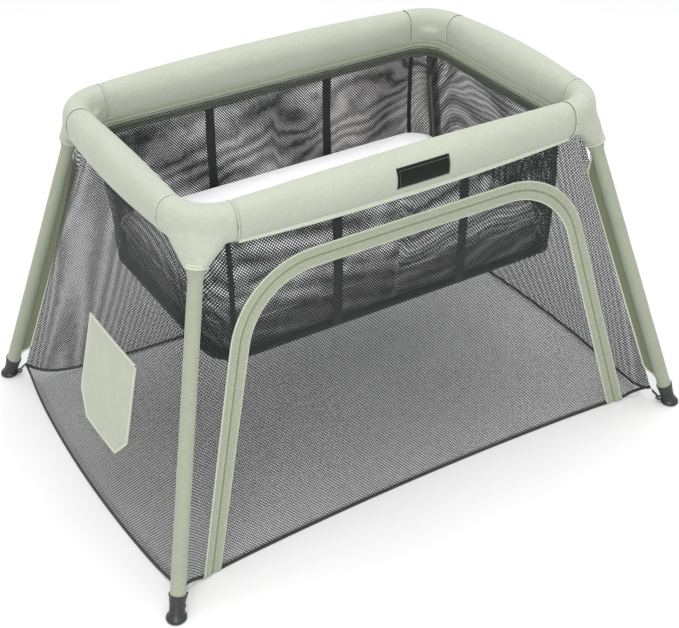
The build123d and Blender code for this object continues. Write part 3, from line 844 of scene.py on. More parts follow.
def build_legs():
    """Fabric sleeves, and behind each a web with piping on its edge that the walls are sewn to."""
    for front, side, sx, sy in CORNERS:
        body = f"leg_{front}_{side}"
        up = leg_up(sx, sy)
        top = about_leg(sx, sy, 0.002)
        bottom = leg_point(sx, sy, NECK_TOP)
        axis, radii = [], []
        for t in np.linspace(0, 1, 81):
            ease = 0.0004 * noise.noise(Vector((t * 9, sx * 3, sy * 3)))
            hem = 0.0009 * math.exp(-((t - 0.985) / 0.006) ** 2)
            turned_in = 0.0012 * max(0.0, (t - 0.992) / 0.008)
            cuff = 0.0033 * (1 - smoothstep((t - 0.020) / 0.022))
            axis.append(top.lerp(bottom, t))
            radii.append(SLEEVE_R + 0.0008 * t + cuff + ease + hem - turned_in)
        rows = tube_rows(axis, up, radii, 32)
        sleeve = outward(lattice(f"leg_sleeve_{front}_{side}", rows, closed=True, caps=True))
        # the sleeve's darker sage is painted shade
        put(sleeve, shaded_leg_fabric, body, f"leg_sleeve_{front}_{side}", slot="sage_fabric")
        inward, across = leg_diagonal(sx, sy)
        count = 48
        line = [top.lerp(bottom, t) for t in np.linspace(0.045, 0.955, count)]
        grow = [smoothstep(i / 4) * smoothstep((count - 1 - i) / 3) for i in range(count)]
        web = []
        for p, g in zip(line, grow):
            reach = mix(0.014, WEB_REACH, g)
            centre = p + inward * ((WEB_ROOT + reach) / 2)
            web.append([centre + inward * (a * (reach - WEB_ROOT)) + across * b
                        for a, b in superellipse(1.0, 0.0032, 3.5, 14)])
        piece = outward(lattice(f"leg_web_{front}_{side}", web, closed=True, caps=True))
        # the web's dark colour is painted shade
        put(piece, shaded_web_fabric, body, slot="sage_fabric")
        edge = [p + inward * (mix(0.013, WEB_REACH, g) - 0.0012) for p, g in zip(line, grow)]
        piping = strip(f"leg_piping_{front}_{side}", edge, inward, superellipse(0.0058, 0.0042, 2.0, 12))
        put(piping, sage_piping, body, slot="sage_tape")


NECK_R = 0.0131
# the flared pad's height, radius, and how far it has turned from upright to the leg's lean
FOOT_PROFILE = ((0.0000, 0.0150, 0), (0.0006, 0.0168, 0), (0.0022, 0.0178, 0), (0.0045, 0.0178, 0),
                (0.0066, 0.0166, 0.1), (0.0082, 0.0148, 0.3), (0.0100, 0.0136, 0.6), (0.0125, NECK_R, 0.9))
LOOP_R = 0.0055


def build_feet():
    """Flared rubber pads with a ribbed neck that grips the leg, and the loop for the walls' corner."""
    for front, side, sx, sy in CORNERS:
        up = leg_up(sx, sy)
        base = Vector((sx * FOOT.x, sy * FOOT.y, 0))
        profile = list(FOOT_PROFILE)
        for n, z in enumerate(np.linspace(0.0150, NECK_TOP + 0.006, 34)):
            groove = 0.0009 * (0.5 - 0.5 * math.cos(2 * math.pi * 5 * n / 33)) if 3 < n < 29 else 0.0
            profile.append((z, NECK_R + 0.0026 * (n / 33) ** 1.5 - groove, 1))
        rows = []
        for z, r, tilt in profile:
            axis = UPRIGHT.lerp(up, tilt).normalized()
            centre = (base + UPRIGHT * z).lerp(leg_point(sx, sy, z), tilt)
            first = axis.cross(Vector((0, 1, 0))).normalized()
            rows.append(circle(centre, first, axis.cross(first), r, 40))
        foot = outward(lattice(f"leg_foot_{front}_{side}", rows, closed=True, caps=True, sharp=50))
        put(foot, rubber, f"leg_{front}_{side}", f"leg_foot_{front}_{side}", slot="foot_rubber")
        inward = Vector((-sx, -sy * 0.75, 0)).normalized()
        centre = base + inward * (FOOT_R + 0.0035) + Vector((0, 0, 0.0085))
        ring = circle(centre, inward, UPRIGHT.cross(inward), LOOP_R, 25, close=True)
        loop = strip(f"foot_loop_{front}_{side}", ring, UPRIGHT, superellipse(0.0028, 0.0034, 2.4, 10),
                     caps=False)
        put(loop, rubber, f"leg_{front}_{side}", slot="black_plastic")
        line = [centre + inward * a + UPRIGHT * b for a, b in ((0, 0.001), (0.008, 0.010), (0.016, 0.018))]
        tie = strip(f"corner_tie_{front}_{side}", line, inward.cross(UPRIGHT).cross(inward),
                    flat_section(0.010, 0.0016))
        put(tie, black_tape, f"leg_{front}_{side}", slot="black_plastic")


# ---- Wall surfaces ----------------------------------------------------------------------------------------

HEM_Z, HEM_CORNER = 0.0035, 0.030     # the hems' height, and where they rise to at the legs
TOP_Y, TOP_X = 0.262, 0.410           # the walls' planes where they hang from the rim
FOOT_Y_MID, FOOT_X_MID = 0.3235, 0.543        # and at the middle of their hems
EDGE_OUT, EDGE_IN = 0.022, -0.025     # how far the hem drifts out, or in, before it turns to the legs


def hem_height(r):
    return HEM_Z + (HEM_CORNER - HEM_Z) * min(1.0, abs(r)) ** 10


def long_half(z):
    return leg_at(z)[0] - WALL_INSET


def end_half(z):
    return leg_at(z)[1] - WALL_INSET


def long_wall(sy, x, z):
    """A point on the front or back wall."""
    r = min(1.0, abs(x) / long_half(z))
    drop = max(0.0, 1 - z / WALL_TOP)
    middle = mix(TOP_Y, FOOT_Y_MID, drop)
    drift = EDGE_OUT * drop
    y = middle + drift * r * r + (end_half(z) - middle - drift) * r ** 18
    return Vector((x, sy * y, z))


def end_wall(sx, y, z):
    r = min(1.0, abs(y) / end_half(z))
    drop = max(0.0, 1 - z / WALL_TOP)
    middle = mix(TOP_X, FOOT_X_MID, drop)
    drift = EDGE_IN * drop
    x = middle + drift * r * r + (long_half(z) - middle - drift) * r ** 18
    return Vector((sx * x, y, z))


def wall_normal(wall, sign, along, z):
    """A wall's outward normal."""
    step = 0.003
    across = wall(sign, along + step, z) - wall(sign, along - step, z)
    rise = wall(sign, along, z + step) - wall(sign, along, z - step)
    n = across.cross(rise).normalized()
    out = n.y if wall is long_wall else n.x
    return n if out * sign > 0 else -n


def long_normal(sy, x, z):
    return wall_normal(long_wall, sy, x, z)


def end_normal(sx, y, z):
    return wall_normal(end_wall, sx, y, z)


def ripple(a, b, size):
    """Slow unevenness of a stretched net."""
    return size * (noise.noise(Vector((a * 5, b * 5, 1.7))) + 0.4 * noise.noise(Vector((a * 14, b * 9, 5.2))))


def gather(obj, axis):
    """Gives the cloth piece its own copy of its mesh."""
    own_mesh(obj)


LONG_LEAN = 0.06                      # how far the long walls' slope leans inwards


def long_slope(sx, sy):
    return Vector((-sx * LONG_LEAN, -sy * (FOOT_Y_MID - TOP_Y) / WALL_TOP, 1)).normalized()


def end_slope(sx):
    return Vector((-sx * (FOOT_X_MID - TOP_X) / WALL_TOP, 0, 1)).normalized()


def gather_long(obj, sx, sy):
    gather(obj, long_slope(sx, sy))


def gather_end(obj, sx):
    gather(obj, end_slope(sx))


def gather_corner(obj, sx, sy):
    gather(obj, leg_up(sx, sy))


# ---- Arch door --------------------------------------------------------------------------------------------

ARCH_ROUND, ARCH_LEAN = 0.172, 0.262  # radius of the arch's shoulders, and how far its sides lean in
TAPE_WIDE = 0.0165
ZIP_TEETH = 210
TAPE_LIFT, CORD_LIFT, COIL_LIFT = 0.0016, 0.0018, 0.0022      # how far each stands off the wall


def arch_half(inset, count):
    """Half of the door's arch, an inset inside its edge: (|x|, z) points from the hem up to the middle."""
    low = ARCH_HALF - inset * math.hypot(1, ARCH_LEAN)
    top = ARCH_TOP - inset
    radius = ARCH_ROUND - inset
    turn = math.atan(ARCH_LEAN)
    # the round's centre is one radius in from the leaning side and from the top
    cz = top - radius
    cx = low - ARCH_LEAN * cz - radius * math.hypot(1, ARCH_LEAN)
    first = (cx + radius * math.cos(turn), cz + radius * math.sin(turn))
    lengths = [math.hypot(low - first[0], first[1]), radius * (math.pi / 2 - turn), cx]
    points = []
    for i in range(count + 1):
        s = sum(lengths) * i / count
        if s <= lengths[0]:
            t = s / lengths[0]
            points.append((mix(low, first[0], t), mix(0.0, first[1], t)))
        elif s <= lengths[0] + lengths[1]:
            a = turn + (s - lengths[0]) / radius
            points.append((cx + radius * math.cos(a), cz + radius * math.sin(a)))
        else:
            points.append((max(0.0, cx - (s - lengths[0] - lengths[1])), top))
    return [(x, max(z, HEM_Z)) for x, z in points]


def arch_line(sx, inset, lift, count):
    points, normals = [], []
    for x, z in arch_half(inset, count):
        n = long_normal(-1, sx * x, z)
        points.append(long_wall(-1, sx * x, z) + n * lift)
        normals.append(n)
    return points, normals


def coil_radius(t):
    """The zip's coil swells at each of its teeth."""
    return 0.0013 + 0.0004 * math.sin(t * 2 * math.pi * ZIP_TEETH) ** 2


def build_arch():
    """The arch's two tapes with the zip's teeth between them, and cords on the tapes' outer edges."""
    for side, sx in SIDES.items():
        for name, inset, body in (("door_surround", TAPE_WIDE / 2, f"{side}_frame"),
                                  ("door_binding", TAPE_WIDE * 1.5 + 0.0016, f"door_{side}")):
            points, normals = arch_line(sx, inset, TAPE_LIFT, 84)
            section = flat_section(TAPE_WIDE, 0.0020, 3, 0.0009, 24)
            band = strip(f"{name}_{side}", points, normals, section, sharp=70)
            put(band, sage_tape, body, f"{name}_{side}", slot="sage_tape")
            gather_long(band, sx, -1)
        points, normals = arch_line(sx, TAPE_WIDE + 0.0008, COIL_LIFT, 420)
        coil = strip(f"zip_coil_{side}", points, normals,
                     lambda t: superellipse(2 * coil_radius(t), 2 * coil_radius(t), 2.0, 8))
        put(coil, zip_tape, f"{side}_frame", slot="sage_tape")
        gather_long(coil, sx, -1)
        for name, inset, body in (("surround_edge", 0.0012, f"{side}_frame"),
                                  ("binding_edge", TAPE_WIDE * 2 + 0.0006, f"door_{side}")):
            points, normals = arch_line(sx, inset, CORD_LIFT, 84)
            cord = strip(f"{name}_{side}", points, normals, superellipse(0.0030, 0.0030, 2.0, 10))
            put(cord, sage_piping, body, slot="sage_tape")
            gather_long(cord, sx, -1)


GORE_INSET, DOOR_INSET = 0.006, TAPE_WIDE * 2 - 0.004      # the nets' edges lie under the tapes


def build_front_nets():
    """The front wall outside its arch, in a gore beside each leg and a header, and the door's nets."""
    for side, sx in SIDES.items():
        # outside the arch, out to the leg and up to the rim
        inner = arch_half(GORE_INSET, 96)
        corner_at = 0.62              # the share of the arch's line that faces the leg
        rows, uvs = [], []
        for i, (ax, az) in enumerate(inner):
            t = i / (len(inner) - 1)
            if t < corner_at:
                z = mix(HEM_CORNER, WALL_TOP, t / corner_at)
                bx, bz = long_half(z), z
            else:
                bx, bz = mix(long_half(WALL_TOP), 0.0, (t - corner_at) / (1 - corner_at)), WALL_TOP
            row, uv = [], []
            for k in range(15):
                s = k / 14
                x, z = mix(ax, bx, s), mix(az, bz, s)
                p = long_wall(-1, sx * x, z)
                row.append(p + long_normal(-1, sx * x, z) * ripple(x + sx, z, 0.0018) * math.sin(math.pi * s))
                uv.append((x, z))
            rows.append(row)
            uvs.append(uv)
        turn = int(corner_at * (len(inner) - 1)) + 1
        for name, part, node in (("front_gore", slice(0, turn + 1), (f"skirt_{side}",)),
                                 ("front_header", slice(turn, None), ())):
            piece = lattice(f"{name}_{side}", rows[part], uv=uvs[part])
            put(piece, front_net, f"{side}_frame", *node, slot="charcoal_mesh")
            (gather_corner if node else gather_long)(piece, sx, -1)
            declare_sheet(piece)
        # inside the arch
        rows, uvs = [], []
        for ax, z in arch_half(DOOR_INSET, 96):
            row, uv = [], []
            for k in range(41):
                x = ax * (1 - k / 40)
                p = long_wall(-1, sx * x, z)
                lift = ripple(x * sx, z, 0.0022) * math.sin(math.pi * min(1, z / 0.5))
                row.append(p + long_normal(-1, sx * x, z) * lift)
                uv.append((sx * x, z))
            rows.append(row)
            uvs.append(uv)
        rows, uvs = tidy_rows(rows, uvs)
        door = lattice(f"door_net_{side}", rows, uv=uvs)
        put(door, front_net, f"door_{side}", f"door_mesh_{side}", slot="charcoal_mesh")
        gather_long(door, sx, -1)
        declare_sheet(door)


def tidy_rows(rows, uvs):
    """Drops rows that lie on the one before them, as along the arch's flat top."""
    least = 0.0015
    kept_rows, kept_uvs = [rows[0]], [uvs[0]]
    for row, uv in zip(rows[1:], uvs[1:]):
        if (row[len(row) // 2] - kept_rows[-1][len(row) // 2]).length > least:
            kept_rows.append(row)
            kept_uvs.append(uv)
    return kept_rows, kept_uvs


SPLIT = 0.72                          # the walls' middle panels end this far out, as a share


def net_panel(name, wall, half, sign, low, high, across):
    """A net between two shares of a wall's half width, from its hem to its top."""
    def place(t, s):
        r = mix(low, high, s)
        z = mix(hem_height(r), WALL_TOP, t)
        a = r * half(z)
        lift = ripple(a + 3 * sign, z, 0.0022) * math.sin(math.pi * t) * (1 - abs(r) ** 4)
        return wall(sign, a, z) + wall_normal(wall, sign, a, z) * lift, (a, z)

    return sheet(name, 50, across, place)


def hang_net(piece, side, how, rests_on, *nodes):
    put(piece, wall_net, f"{side}_frame", *nodes, slot="charcoal_mesh")
    how(piece)
    declare_sheet(piece)


def build_other_nets():
    """The back and end walls: a middle panel, and gores beside the legs."""
    for side, sx in SIDES.items():
        hang_net(net_panel(f"back_net_{side}", long_wall, long_half, 1, 0.0, sx * SPLIT, 34), side,
                 lambda o: gather_long(o, sx, 1), f"rim_pad_back_{side}", f"skirt_{side}")
        hang_net(net_panel(f"back_gore_{side}", long_wall, long_half, 1, sx * SPLIT, sx * 1.0, 18), side,
                 lambda o: gather_corner(o, sx, 1), f"leg_web_back_{side}")
        hang_net(net_panel(f"end_net_{side}", end_wall, end_half, sx, -SPLIT, SPLIT, 40), side,
                 lambda o: gather_end(o, sx), f"rim_pad_end_{side}")
        for front, sy in FRONTS.items():
            name = f"end_gore_{front}_{side}"
            hang_net(net_panel(name, end_wall, end_half, sx, sy * SPLIT, sy * 1.0, 14), side,
                     lambda o: gather_corner(o, sx, sy), f"leg_web_{front}_{side}")


def hem_strip(name, points, outs, body, how):
    piece = strip(name, points, outs, flat_section(0.0065, 0.0024))
    put(piece, hem_tape, body, slot="black_plastic")
    how(piece)


def hem_line(wall, sign, spots):
    """Points along a wall's hem, and the wall's outward directions there."""
    return ([wall(sign, a, z) for a, z in spots], [wall_normal(wall, sign, a, z) for a, z in spots])


def hem_spots(half, turn, low, high, count):
    """Places on a hem between two shares of its half width."""
    return [(turn * r * half(hem_height(r)), hem_height(r)) for r in np.linspace(low, high, count)]


def build_hems():
    """Black binding along the walls' lower edges."""
    for side, sx in SIDES.items():
        body = f"{side}_frame"
        # front: from the arch out to the leg, and the door's own hem
        start, stop = arch_half(GORE_INSET, 1)[0][0], long_half(HEM_CORNER)
        spots = [(sx * mix(start, stop, t), mix(HEM_Z, HEM_CORNER, t)) for t in np.linspace(0, 1, 16)]
        hem_strip(f"hem_front_{side}", *hem_line(long_wall, -1, spots), body,
                  lambda o: gather_corner(o, sx, -1))
        xs = np.linspace(0, arch_half(DOOR_INSET, 1)[0][0], 40)
        hem_strip(f"hem_door_{side}", [long_wall(-1, sx * x, HEM_Z) for x in xs],
                  [long_normal(-1, sx * x, 0.01) for x in xs], f"door_{side}",
                  lambda o: gather_long(o, sx, -1))
        hem_strip(f"hem_back_mid_{side}",
                  *hem_line(long_wall, 1, hem_spots(long_half, sx, 0.0, SPLIT, 34)), body,
                  lambda o: gather_long(o, sx, 1))
        hem_strip(f"hem_back_side_{side}",
                  *hem_line(long_wall, 1, hem_spots(long_half, sx, SPLIT, 1.0, 34)), body,
                  lambda o: gather_corner(o, sx, 1))
        hem_strip(f"hem_end_{side}",
                  *hem_line(end_wall, sx, hem_spots(end_half, 1, -SPLIT, SPLIT, 50)), body,
                  lambda o: gather_end(o, sx))
        for front, sy in FRONTS.items():
            hem_strip(f"hem_end_{front}_{side}",
                      *hem_line(end_wall, sx, hem_spots(end_half, sy, SPLIT, 1.0, 26)), body,
                      lambda o: gather_corner(o, sx, sy))


# ---- Slider, pocket and label -----------------------------------------------------------------------------

def build_slider():
    """The slider and its pull, copied from the CAD."""
    for node, material in (("zip_slider", zip_metal), ("zip_pull", pale_plastic)):
        piece = linked(f"{node}_piece", frame["nodes"][node].data.copy())
        put(piece, material, node, node, slot="zip_metal")
        gather_long(piece, 1, -1)


POCKET_LIFT, POCKET_BULGE, POCKET_RUMPLE = 0.0028, 0.0032, 0.0012


def build_pocket():
    """Flat pocket sewn outside the left end wall, its lower corners cut off, with a bound edge."""
    low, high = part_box("end_pocket")
    middle, half = (low.y + high.y) / 2, (high.y - low.y) / 2
    tall = high.z - low.z
    cut, rise = 0.37, 0.21            # how much of the half width the cut corners take, and how far up

    def half_at(t):
        return half * (1 - cut * max(0.0, 1 - t / rise)) * (1 - 0.03 * smoothstep((t - rise) / (1 - rise)))

    def surface(y, t, lift):
        z = mix(low.z, high.z, t)
        return end_wall(-1, y, z) + end_normal(-1, y, z) * lift

    def place(t, s):
        s = 2 * s - 1
        y = middle + half_at(t) * s
        edge = min(1 - abs(s), t, 1 - t) * 2
        bulge = POCKET_BULGE * smoothstep(edge / 0.5)
        bulge += ripple(y * 3, t, POCKET_RUMPLE) * smoothstep(edge * 3)
        return surface(y, t, POCKET_LIFT + bulge), (y, t * tall)

    pocket = sheet("end_pocket", 44, 40, place)
    put(pocket, pocket_fabric, "left_frame", "end_pocket", slot="sage_pocket")
    heights = [*np.linspace(0, rise, 8), *np.linspace(rise, 1, 20)[1:]]
    outline = [(middle - half_at(t), t) for t in heights[::-1]]
    outline += [(middle + half_at(0) * s, 0.0) for s in np.linspace(-1, 1, 12)[1:]]
    outline += [(middle + half_at(t), t) for t in heights[1:]]
    outline += [(middle + half_at(1) * s, 1.0) for s in np.linspace(1, -1, 20)[1:]]
    binding = strip("pocket_binding", [surface(y, t, 0.0030) for y, t in outline],
                    [end_normal(-1, y, 0.2) for y, t in outline], flat_section(0.0052, 0.0026), caps=False)
    put(binding, sage_piping, "left_frame", slot="sage_pocket")
    gather_end(pocket, -1)
    gather_end(binding, -1)
    declare_sheet(pocket)


def faces_of(pieces):
    """The corners and faces of several pieces together."""
    corners, faces = [], []
    for piece in pieces:
        mesh = piece.data
        faces += [[len(corners) + v for v in polygon.vertices] for polygon in mesh.polygons]
        corners += [v.co.copy() for v in mesh.vertices]
    return corners, faces


def build_label(pieces):
    """Blank sewn patch on the front rail's middle, with a stitched border."""
    half = (LABEL_HIGH.x - LABEL_LOW.x) / 2 + 0.002
    middle = (LABEL_LOW.z + LABEL_HIGH.z) / 2
    tall = (LABEL_HIGH.z - LABEL_LOW.z) / 2
    pads = BVHTree.FromPolygons(*faces_of(pieces))

    def face(x, z, lift):
        """A point on the pads' outer face."""
        off_seam = x if abs(x) > 0.002 else 0.002
        place = pads.ray_cast(Vector((off_seam, -1, z)), Vector((0, 1, 0)))[0]
        return Vector((x, place.y - lift - 0.0004, z))

    rows = []
    for x in np.linspace(-half, half, 49):
        row = []
        for z in np.linspace(middle - tall, middle + tall, 17):
            near = min(half - abs(x), tall - abs(z - middle))
            row.append(face(x, z, 0.0022 * smoothstep(near / 0.004)))
        rows.append(row)
    label = lattice("label_patch", rows)
    put(label, label_cloth, "hinge_link", "label_patch", slot="dark_label")
    declare_sheet(label)
    inset, stitch = 0.0038, 0.0042
    border = [(-half + inset, middle - tall + inset), (half - inset, middle - tall + inset),
              (half - inset, middle + tall - inset), (-half + inset, middle + tall - inset)]
    stitches = []
    for (x0, z0), (x1, z1) in zip(border, border[1:] + border[:1]):
        count = int(math.hypot(x1 - x0, z1 - z0) / stitch)
        for k in range(count):
            line = [face(mix(x0, x1, (k + s) / count), mix(z0, z1, (k + s) / count), lift)
                    for s, lift in ((0.15, 0.0024), (0.5, 0.0029), (0.85, 0.0024))]
            stitches.append(strip("stitch", line, (0, -1, 0), superellipse(0.0010, 0.0008, 2.0, 6)))
    put(join("label_stitches", stitches), label_thread, "hinge_link", slot="dark_label")


# ---- Bassinet, mattress and floor -------------------------------------------------------------------------

BASSINET_TOP = RIM_LOW + 0.004
CORNER_ROUND = 0.055
STRAPS = ((0.13, 0.019), (0.332, 0.010))      # how far from the middle, and how wide
STRAP_OFF, STRAP_BELLY, STRAP_UNDER = 0.0035, 0.005, 0.0042
# how far below the band's top each tape's middle is, its width, and how far out it stands
UPPER_TAPE, LOWER_TAPE, BAND_ZIP = (0.008, 0.0165, 0.0015), (0.0275, 0.0145, -0.0015), 0.0182


def gather_bassinet(obj):
    gather(obj, (0, 0, 1))


def rounded_half(hx, hy, radius, sx, count):
    """Half of a rounded rectangle in plan, from the back's middle round the end to the front's middle:
    points with their outward normals and the distance along."""
    runs = [("line", Vector((0, hy)), Vector((hx - radius, hy)), Vector((0, 1))),
            ("arc", Vector((hx - radius, hy - radius)), math.pi / 2, 0.0),
            ("line", Vector((hx, hy - radius)), Vector((hx, radius - hy)), Vector((1, 0))),
            ("arc", Vector((hx - radius, radius - hy)), 0.0, -math.pi / 2),
            ("line", Vector((hx - radius, -hy)), Vector((0, -hy)), Vector((0, -1)))]
    lengths = [(r[2] - r[1]).length if r[0] == "line" else radius * math.pi / 2 for r in runs]
    found = []
    for i in range(count + 1):
        along = s = sum(lengths) * i / count
        for run, length in zip(runs, lengths):
            if s <= length + 1e-9 or run is runs[-1]:
                t = min(1.0, s / length)
                if run[0] == "line":
                    p, n = run[1].lerp(run[2], t), run[3]
                else:
                    a = mix(run[2], run[3], t)
                    n = Vector((math.cos(a), math.sin(a)))
                    p = run[1] + n * radius
                found.append((Vector((sx * p.x, p.y, 0)), Vector((sx * n.x, n.y, 0)), along))
                break
            s -= length
    return found


def bassinet_half_at(z):
    share = (z - BASSINET_LOW) / (BASSINET_TOP - BASSINET_LOW)
    return mix(BASSINET_X - 0.014, BASSINET_X, share), mix(BASSINET_Y - 0.003, BASSINET_Y - 0.001, share)


def build_base(side, sx):
    """The dark cloth under the mattress, sagging a little."""
    hx, hy = bassinet_half_at(BASSINET_LOW)

    def place(t, s):
        y = mix(-hy, hy, t)
        beyond = max(0.0, abs(y) - (hy - CORNER_ROUND))
        x = sx * s * (hx - CORNER_ROUND + math.sqrt(max(0.0, CORNER_ROUND ** 2 - beyond ** 2)))
        sag = 0.003 * (1 - s ** 4) * (1 - (2 * t - 1) ** 4)
        return Vector((x, y, BASSINET_LOW + 0.0018 - sag)), (x, y)

    base = sheet(f"bassinet_base_{side}", 30, 30, place)
    put(base, base_cloth, f"{side}_frame", slot="charcoal_mesh")
    gather_bassinet(base)
    declare_sheet(base)


def build_bassinet():
    """The net walls, hung from the band, with dark binding round the base."""
    count, tall = 150, 30
    for side, sx in SIDES.items():
        rows, uvs = [], []
        for j in range(tall + 1):
            t = j / tall
            z = mix(BASSINET_LOW, BASSINET_TOP - 0.002, t)
            hx, hy = bassinet_half_at(z)
            row, uv = [], []
            for p, n, s in rounded_half(hx, hy, CORNER_ROUND, sx, count):
                place = Vector((s * 9 + 20 * sx, t * 2.2, 0.5))
                folds = noise.noise(place) * 0.0050 + noise.noise(place * 2.3) * 0.0022
                swag = 0.0022 * math.sin(t * 12 + 5 * noise.noise(Vector((s * 4, 3.1 * sx, 0))))
                belly = 0.004 * math.sin(math.pi * t)
                lift = (folds + swag) * math.sin(math.pi * t) ** 0.6 - 0.001 + belly
                middle = smoothstep(abs(p.x) / 0.02)
                row.append(Vector((p.x, p.y, z)) + n * (lift * middle))
                uv.append((s, z))
            rows.append(row)
            uvs.append(uv)
        wall = lattice(f"bassinet_wall_{side}", rows, uv=uvs)
        put(wall, bassinet_net, f"{side}_frame", f"bassinet_{side}", slot="charcoal_mesh")
        gather_bassinet(wall)
        declare_sheet(wall)
        build_base(side, sx)
        hx, hy = bassinet_half_at(BASSINET_LOW)
        ring = rounded_half(hx, hy, CORNER_ROUND, sx, count)
        points = [Vector((p.x, p.y, BASSINET_LOW + 0.004)) + n * 0.0012 for p, n, s in ring]
        outs = [n for p, n, s in ring]
        edge = strip(f"bassinet_binding_{side}", points, outs, flat_section(0.0075, 0.0022))
        put(edge, black_tape, f"{side}_frame", slot="black_plastic")
        gather_bassinet(edge)
        build_band(side, sx, count)
        build_straps(side, sx)


def build_band(side, sx, count):
    """The two tapes and the zip that join the bassinet to the inside of the rim."""
    low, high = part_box(f"bassinet_band_{side}")
    hx = high.x if sx > 0 else -low.x
    hy = high.y
    top = RIM_LOW + 0.018
    for name, (drop, wide, grow), nodes in (
            (f"bassinet_band_{side}", UPPER_TAPE, (f"bassinet_band_{side}",)),
            (f"bassinet_tape_{side}", LOWER_TAPE, ())):
        ring = rounded_half(hx + grow, hy + grow, CORNER_ROUND, sx, count)
        band = strip(name, [Vector((p.x, p.y, top - drop)) for p, n, s in ring], [-n for p, n, s in ring],
                     flat_section(wide, 0.0022, 2, 0.0009, 22), sharp=70)
        put(band, sage_tape, f"{side}_frame", *nodes, slot="sage_tape")
        gather_bassinet(band)
    ring = rounded_half(hx, hy, CORNER_ROUND, sx, count * 2)
    coil = strip(f"bassinet_zip_{side}", [Vector((p.x, p.y, top - BAND_ZIP)) for p, n, s in ring],
                 [-n for p, n, s in ring], superellipse(0.0044, 0.0036, 2.0, 10))
    put(coil, zip_tape, f"{side}_frame", slot="sage_tape")
    gather_bassinet(coil)


def build_straps(side, sx):
    """Webbing that carries the bassinet: down the wall, under the base and up the other side."""
    heights = np.linspace(BASSINET_TOP - 0.004, BASSINET_LOW + 0.006, 14)
    reach = bassinet_half_at(BASSINET_LOW)[1] - 0.006

    def down_wall(x, sy, z):
        belly = STRAP_BELLY * math.sin(math.pi * (z - BASSINET_LOW) / (BASSINET_TOP - BASSINET_LOW))
        return Vector((x, sy * (bassinet_half_at(z)[1] + STRAP_OFF + belly), z))

    for number, (x, wide) in enumerate(STRAPS):
        points = [down_wall(sx * x, 1, z) for z in heights]
        outs = [Vector((0, 1, 0.15))] * len(heights)
        for y in np.linspace(reach, -reach, 24):
            points.append(Vector((sx * x, y, BASSINET_LOW - STRAP_UNDER)))
            outs.append(Vector((0, 0.05 if y > 0 else -0.05, -1)))
        points += [down_wall(sx * x, -1, z) for z in heights[::-1]]
        outs += [Vector((0, -1, 0.15))] * len(heights)
        strap = strip(f"bassinet_strap_{number}_{side}", points, outs, flat_section(wide, 0.0018))
        put(strap, black_tape, f"{side}_frame", slot="black_plastic")
        gather_bassinet(strap)


def build_mattress():
    """Firm mattress with a crowned top and rounded edges, seamed round its side."""
    hx, hy, radius = MATTRESS_X - 0.003, MATTRESS_Y - 0.002, 0.050
    outline = []
    for sx in (1, -1):
        half = rounded_half(hx, hy, radius, sx, 48)
        outline += [(p, n) for p, n, s in (half if sx > 0 else half[::-1])][:-1]
    crown = 0.003                     # how far the top rises, and the bottom is inset
    tall = MATTRESS_HIGH - MATTRESS_LOW
    rings = []
    for a in np.linspace(-math.pi / 2, math.pi / 2, 10):
        inset = 0.012 * (1 - max(0.0, math.cos(a)) ** 0.7)
        z = MATTRESS_LOW + tall / 2 + (tall / 2 - crown) * math.sin(a)
        rings.append([Vector((p.x, p.y, z)) - n * inset for p, n in outline])
    bottom_ring, top_ring = rings[0], rings[-1]
    for share in (0.93, 0.8, 0.62, 0.42, 0.2):
        z = MATTRESS_HIGH - crown * share
        rings.append([Vector((q.x * share, q.y * share, z)) for q in top_ring])
    for share in (0.8, 0.4):
        z = MATTRESS_LOW + crown
        rings.insert(0, [Vector((q.x * share, q.y * share, z)) for q in bottom_ring])
    uvs = [[(q.x, q.y + q.z) for q in ring] for ring in rings]
    whole = outward(lattice("mattress_whole", rings, closed=True, caps=True, uv=uvs))
    inflate(whole, 2.5, 0.004, lambda co: co.z < MATTRESS_LOW + 0.008)
    subdivide(whole)
    for side, sx in SIDES.items():
        half = half_piece(whole, f"mattress_{side}", sx)
        put(half, mattress_cloth, f"{side}_frame", f"mattress_{side}", slot="mattress_cloth")
        gather_bassinet(half)
        seam = rounded_half(hx + 0.0012, hy + 0.0012, radius, sx, 150)
        points = [Vector((p.x, p.y, MATTRESS_HIGH - 0.013)) for p, n, s in seam]
        piping = strip(f"mattress_piping_{side}", points, [n for p, n, s in seam],
                       superellipse(0.0034, 0.0034, 2, 10))
        put(piping, mattress_cloth, f"{side}_frame", slot="mattress_cloth")
        gather_bassinet(piping)
    bpy.data.objects.remove(whole)


def floor_point(a, b):
    """A point of the floor sheet and its UV, from its shares of the way out to the hems."""
    inset, corner = 0.005, 0.96
    y_at = long_wall(1, min(abs(a), corner) * long_half(HEM_Z), HEM_Z).y - inset
    x_at = end_wall(1, min(abs(b), corner) * end_half(HEM_Z), HEM_Z).x - inset
    x, y = a * x_at, b * y_at
    return Vector((x, y, 0.0018 + 0.0004 * noise.noise(Vector((a * 6, b * 5, 0))))), (x, y)


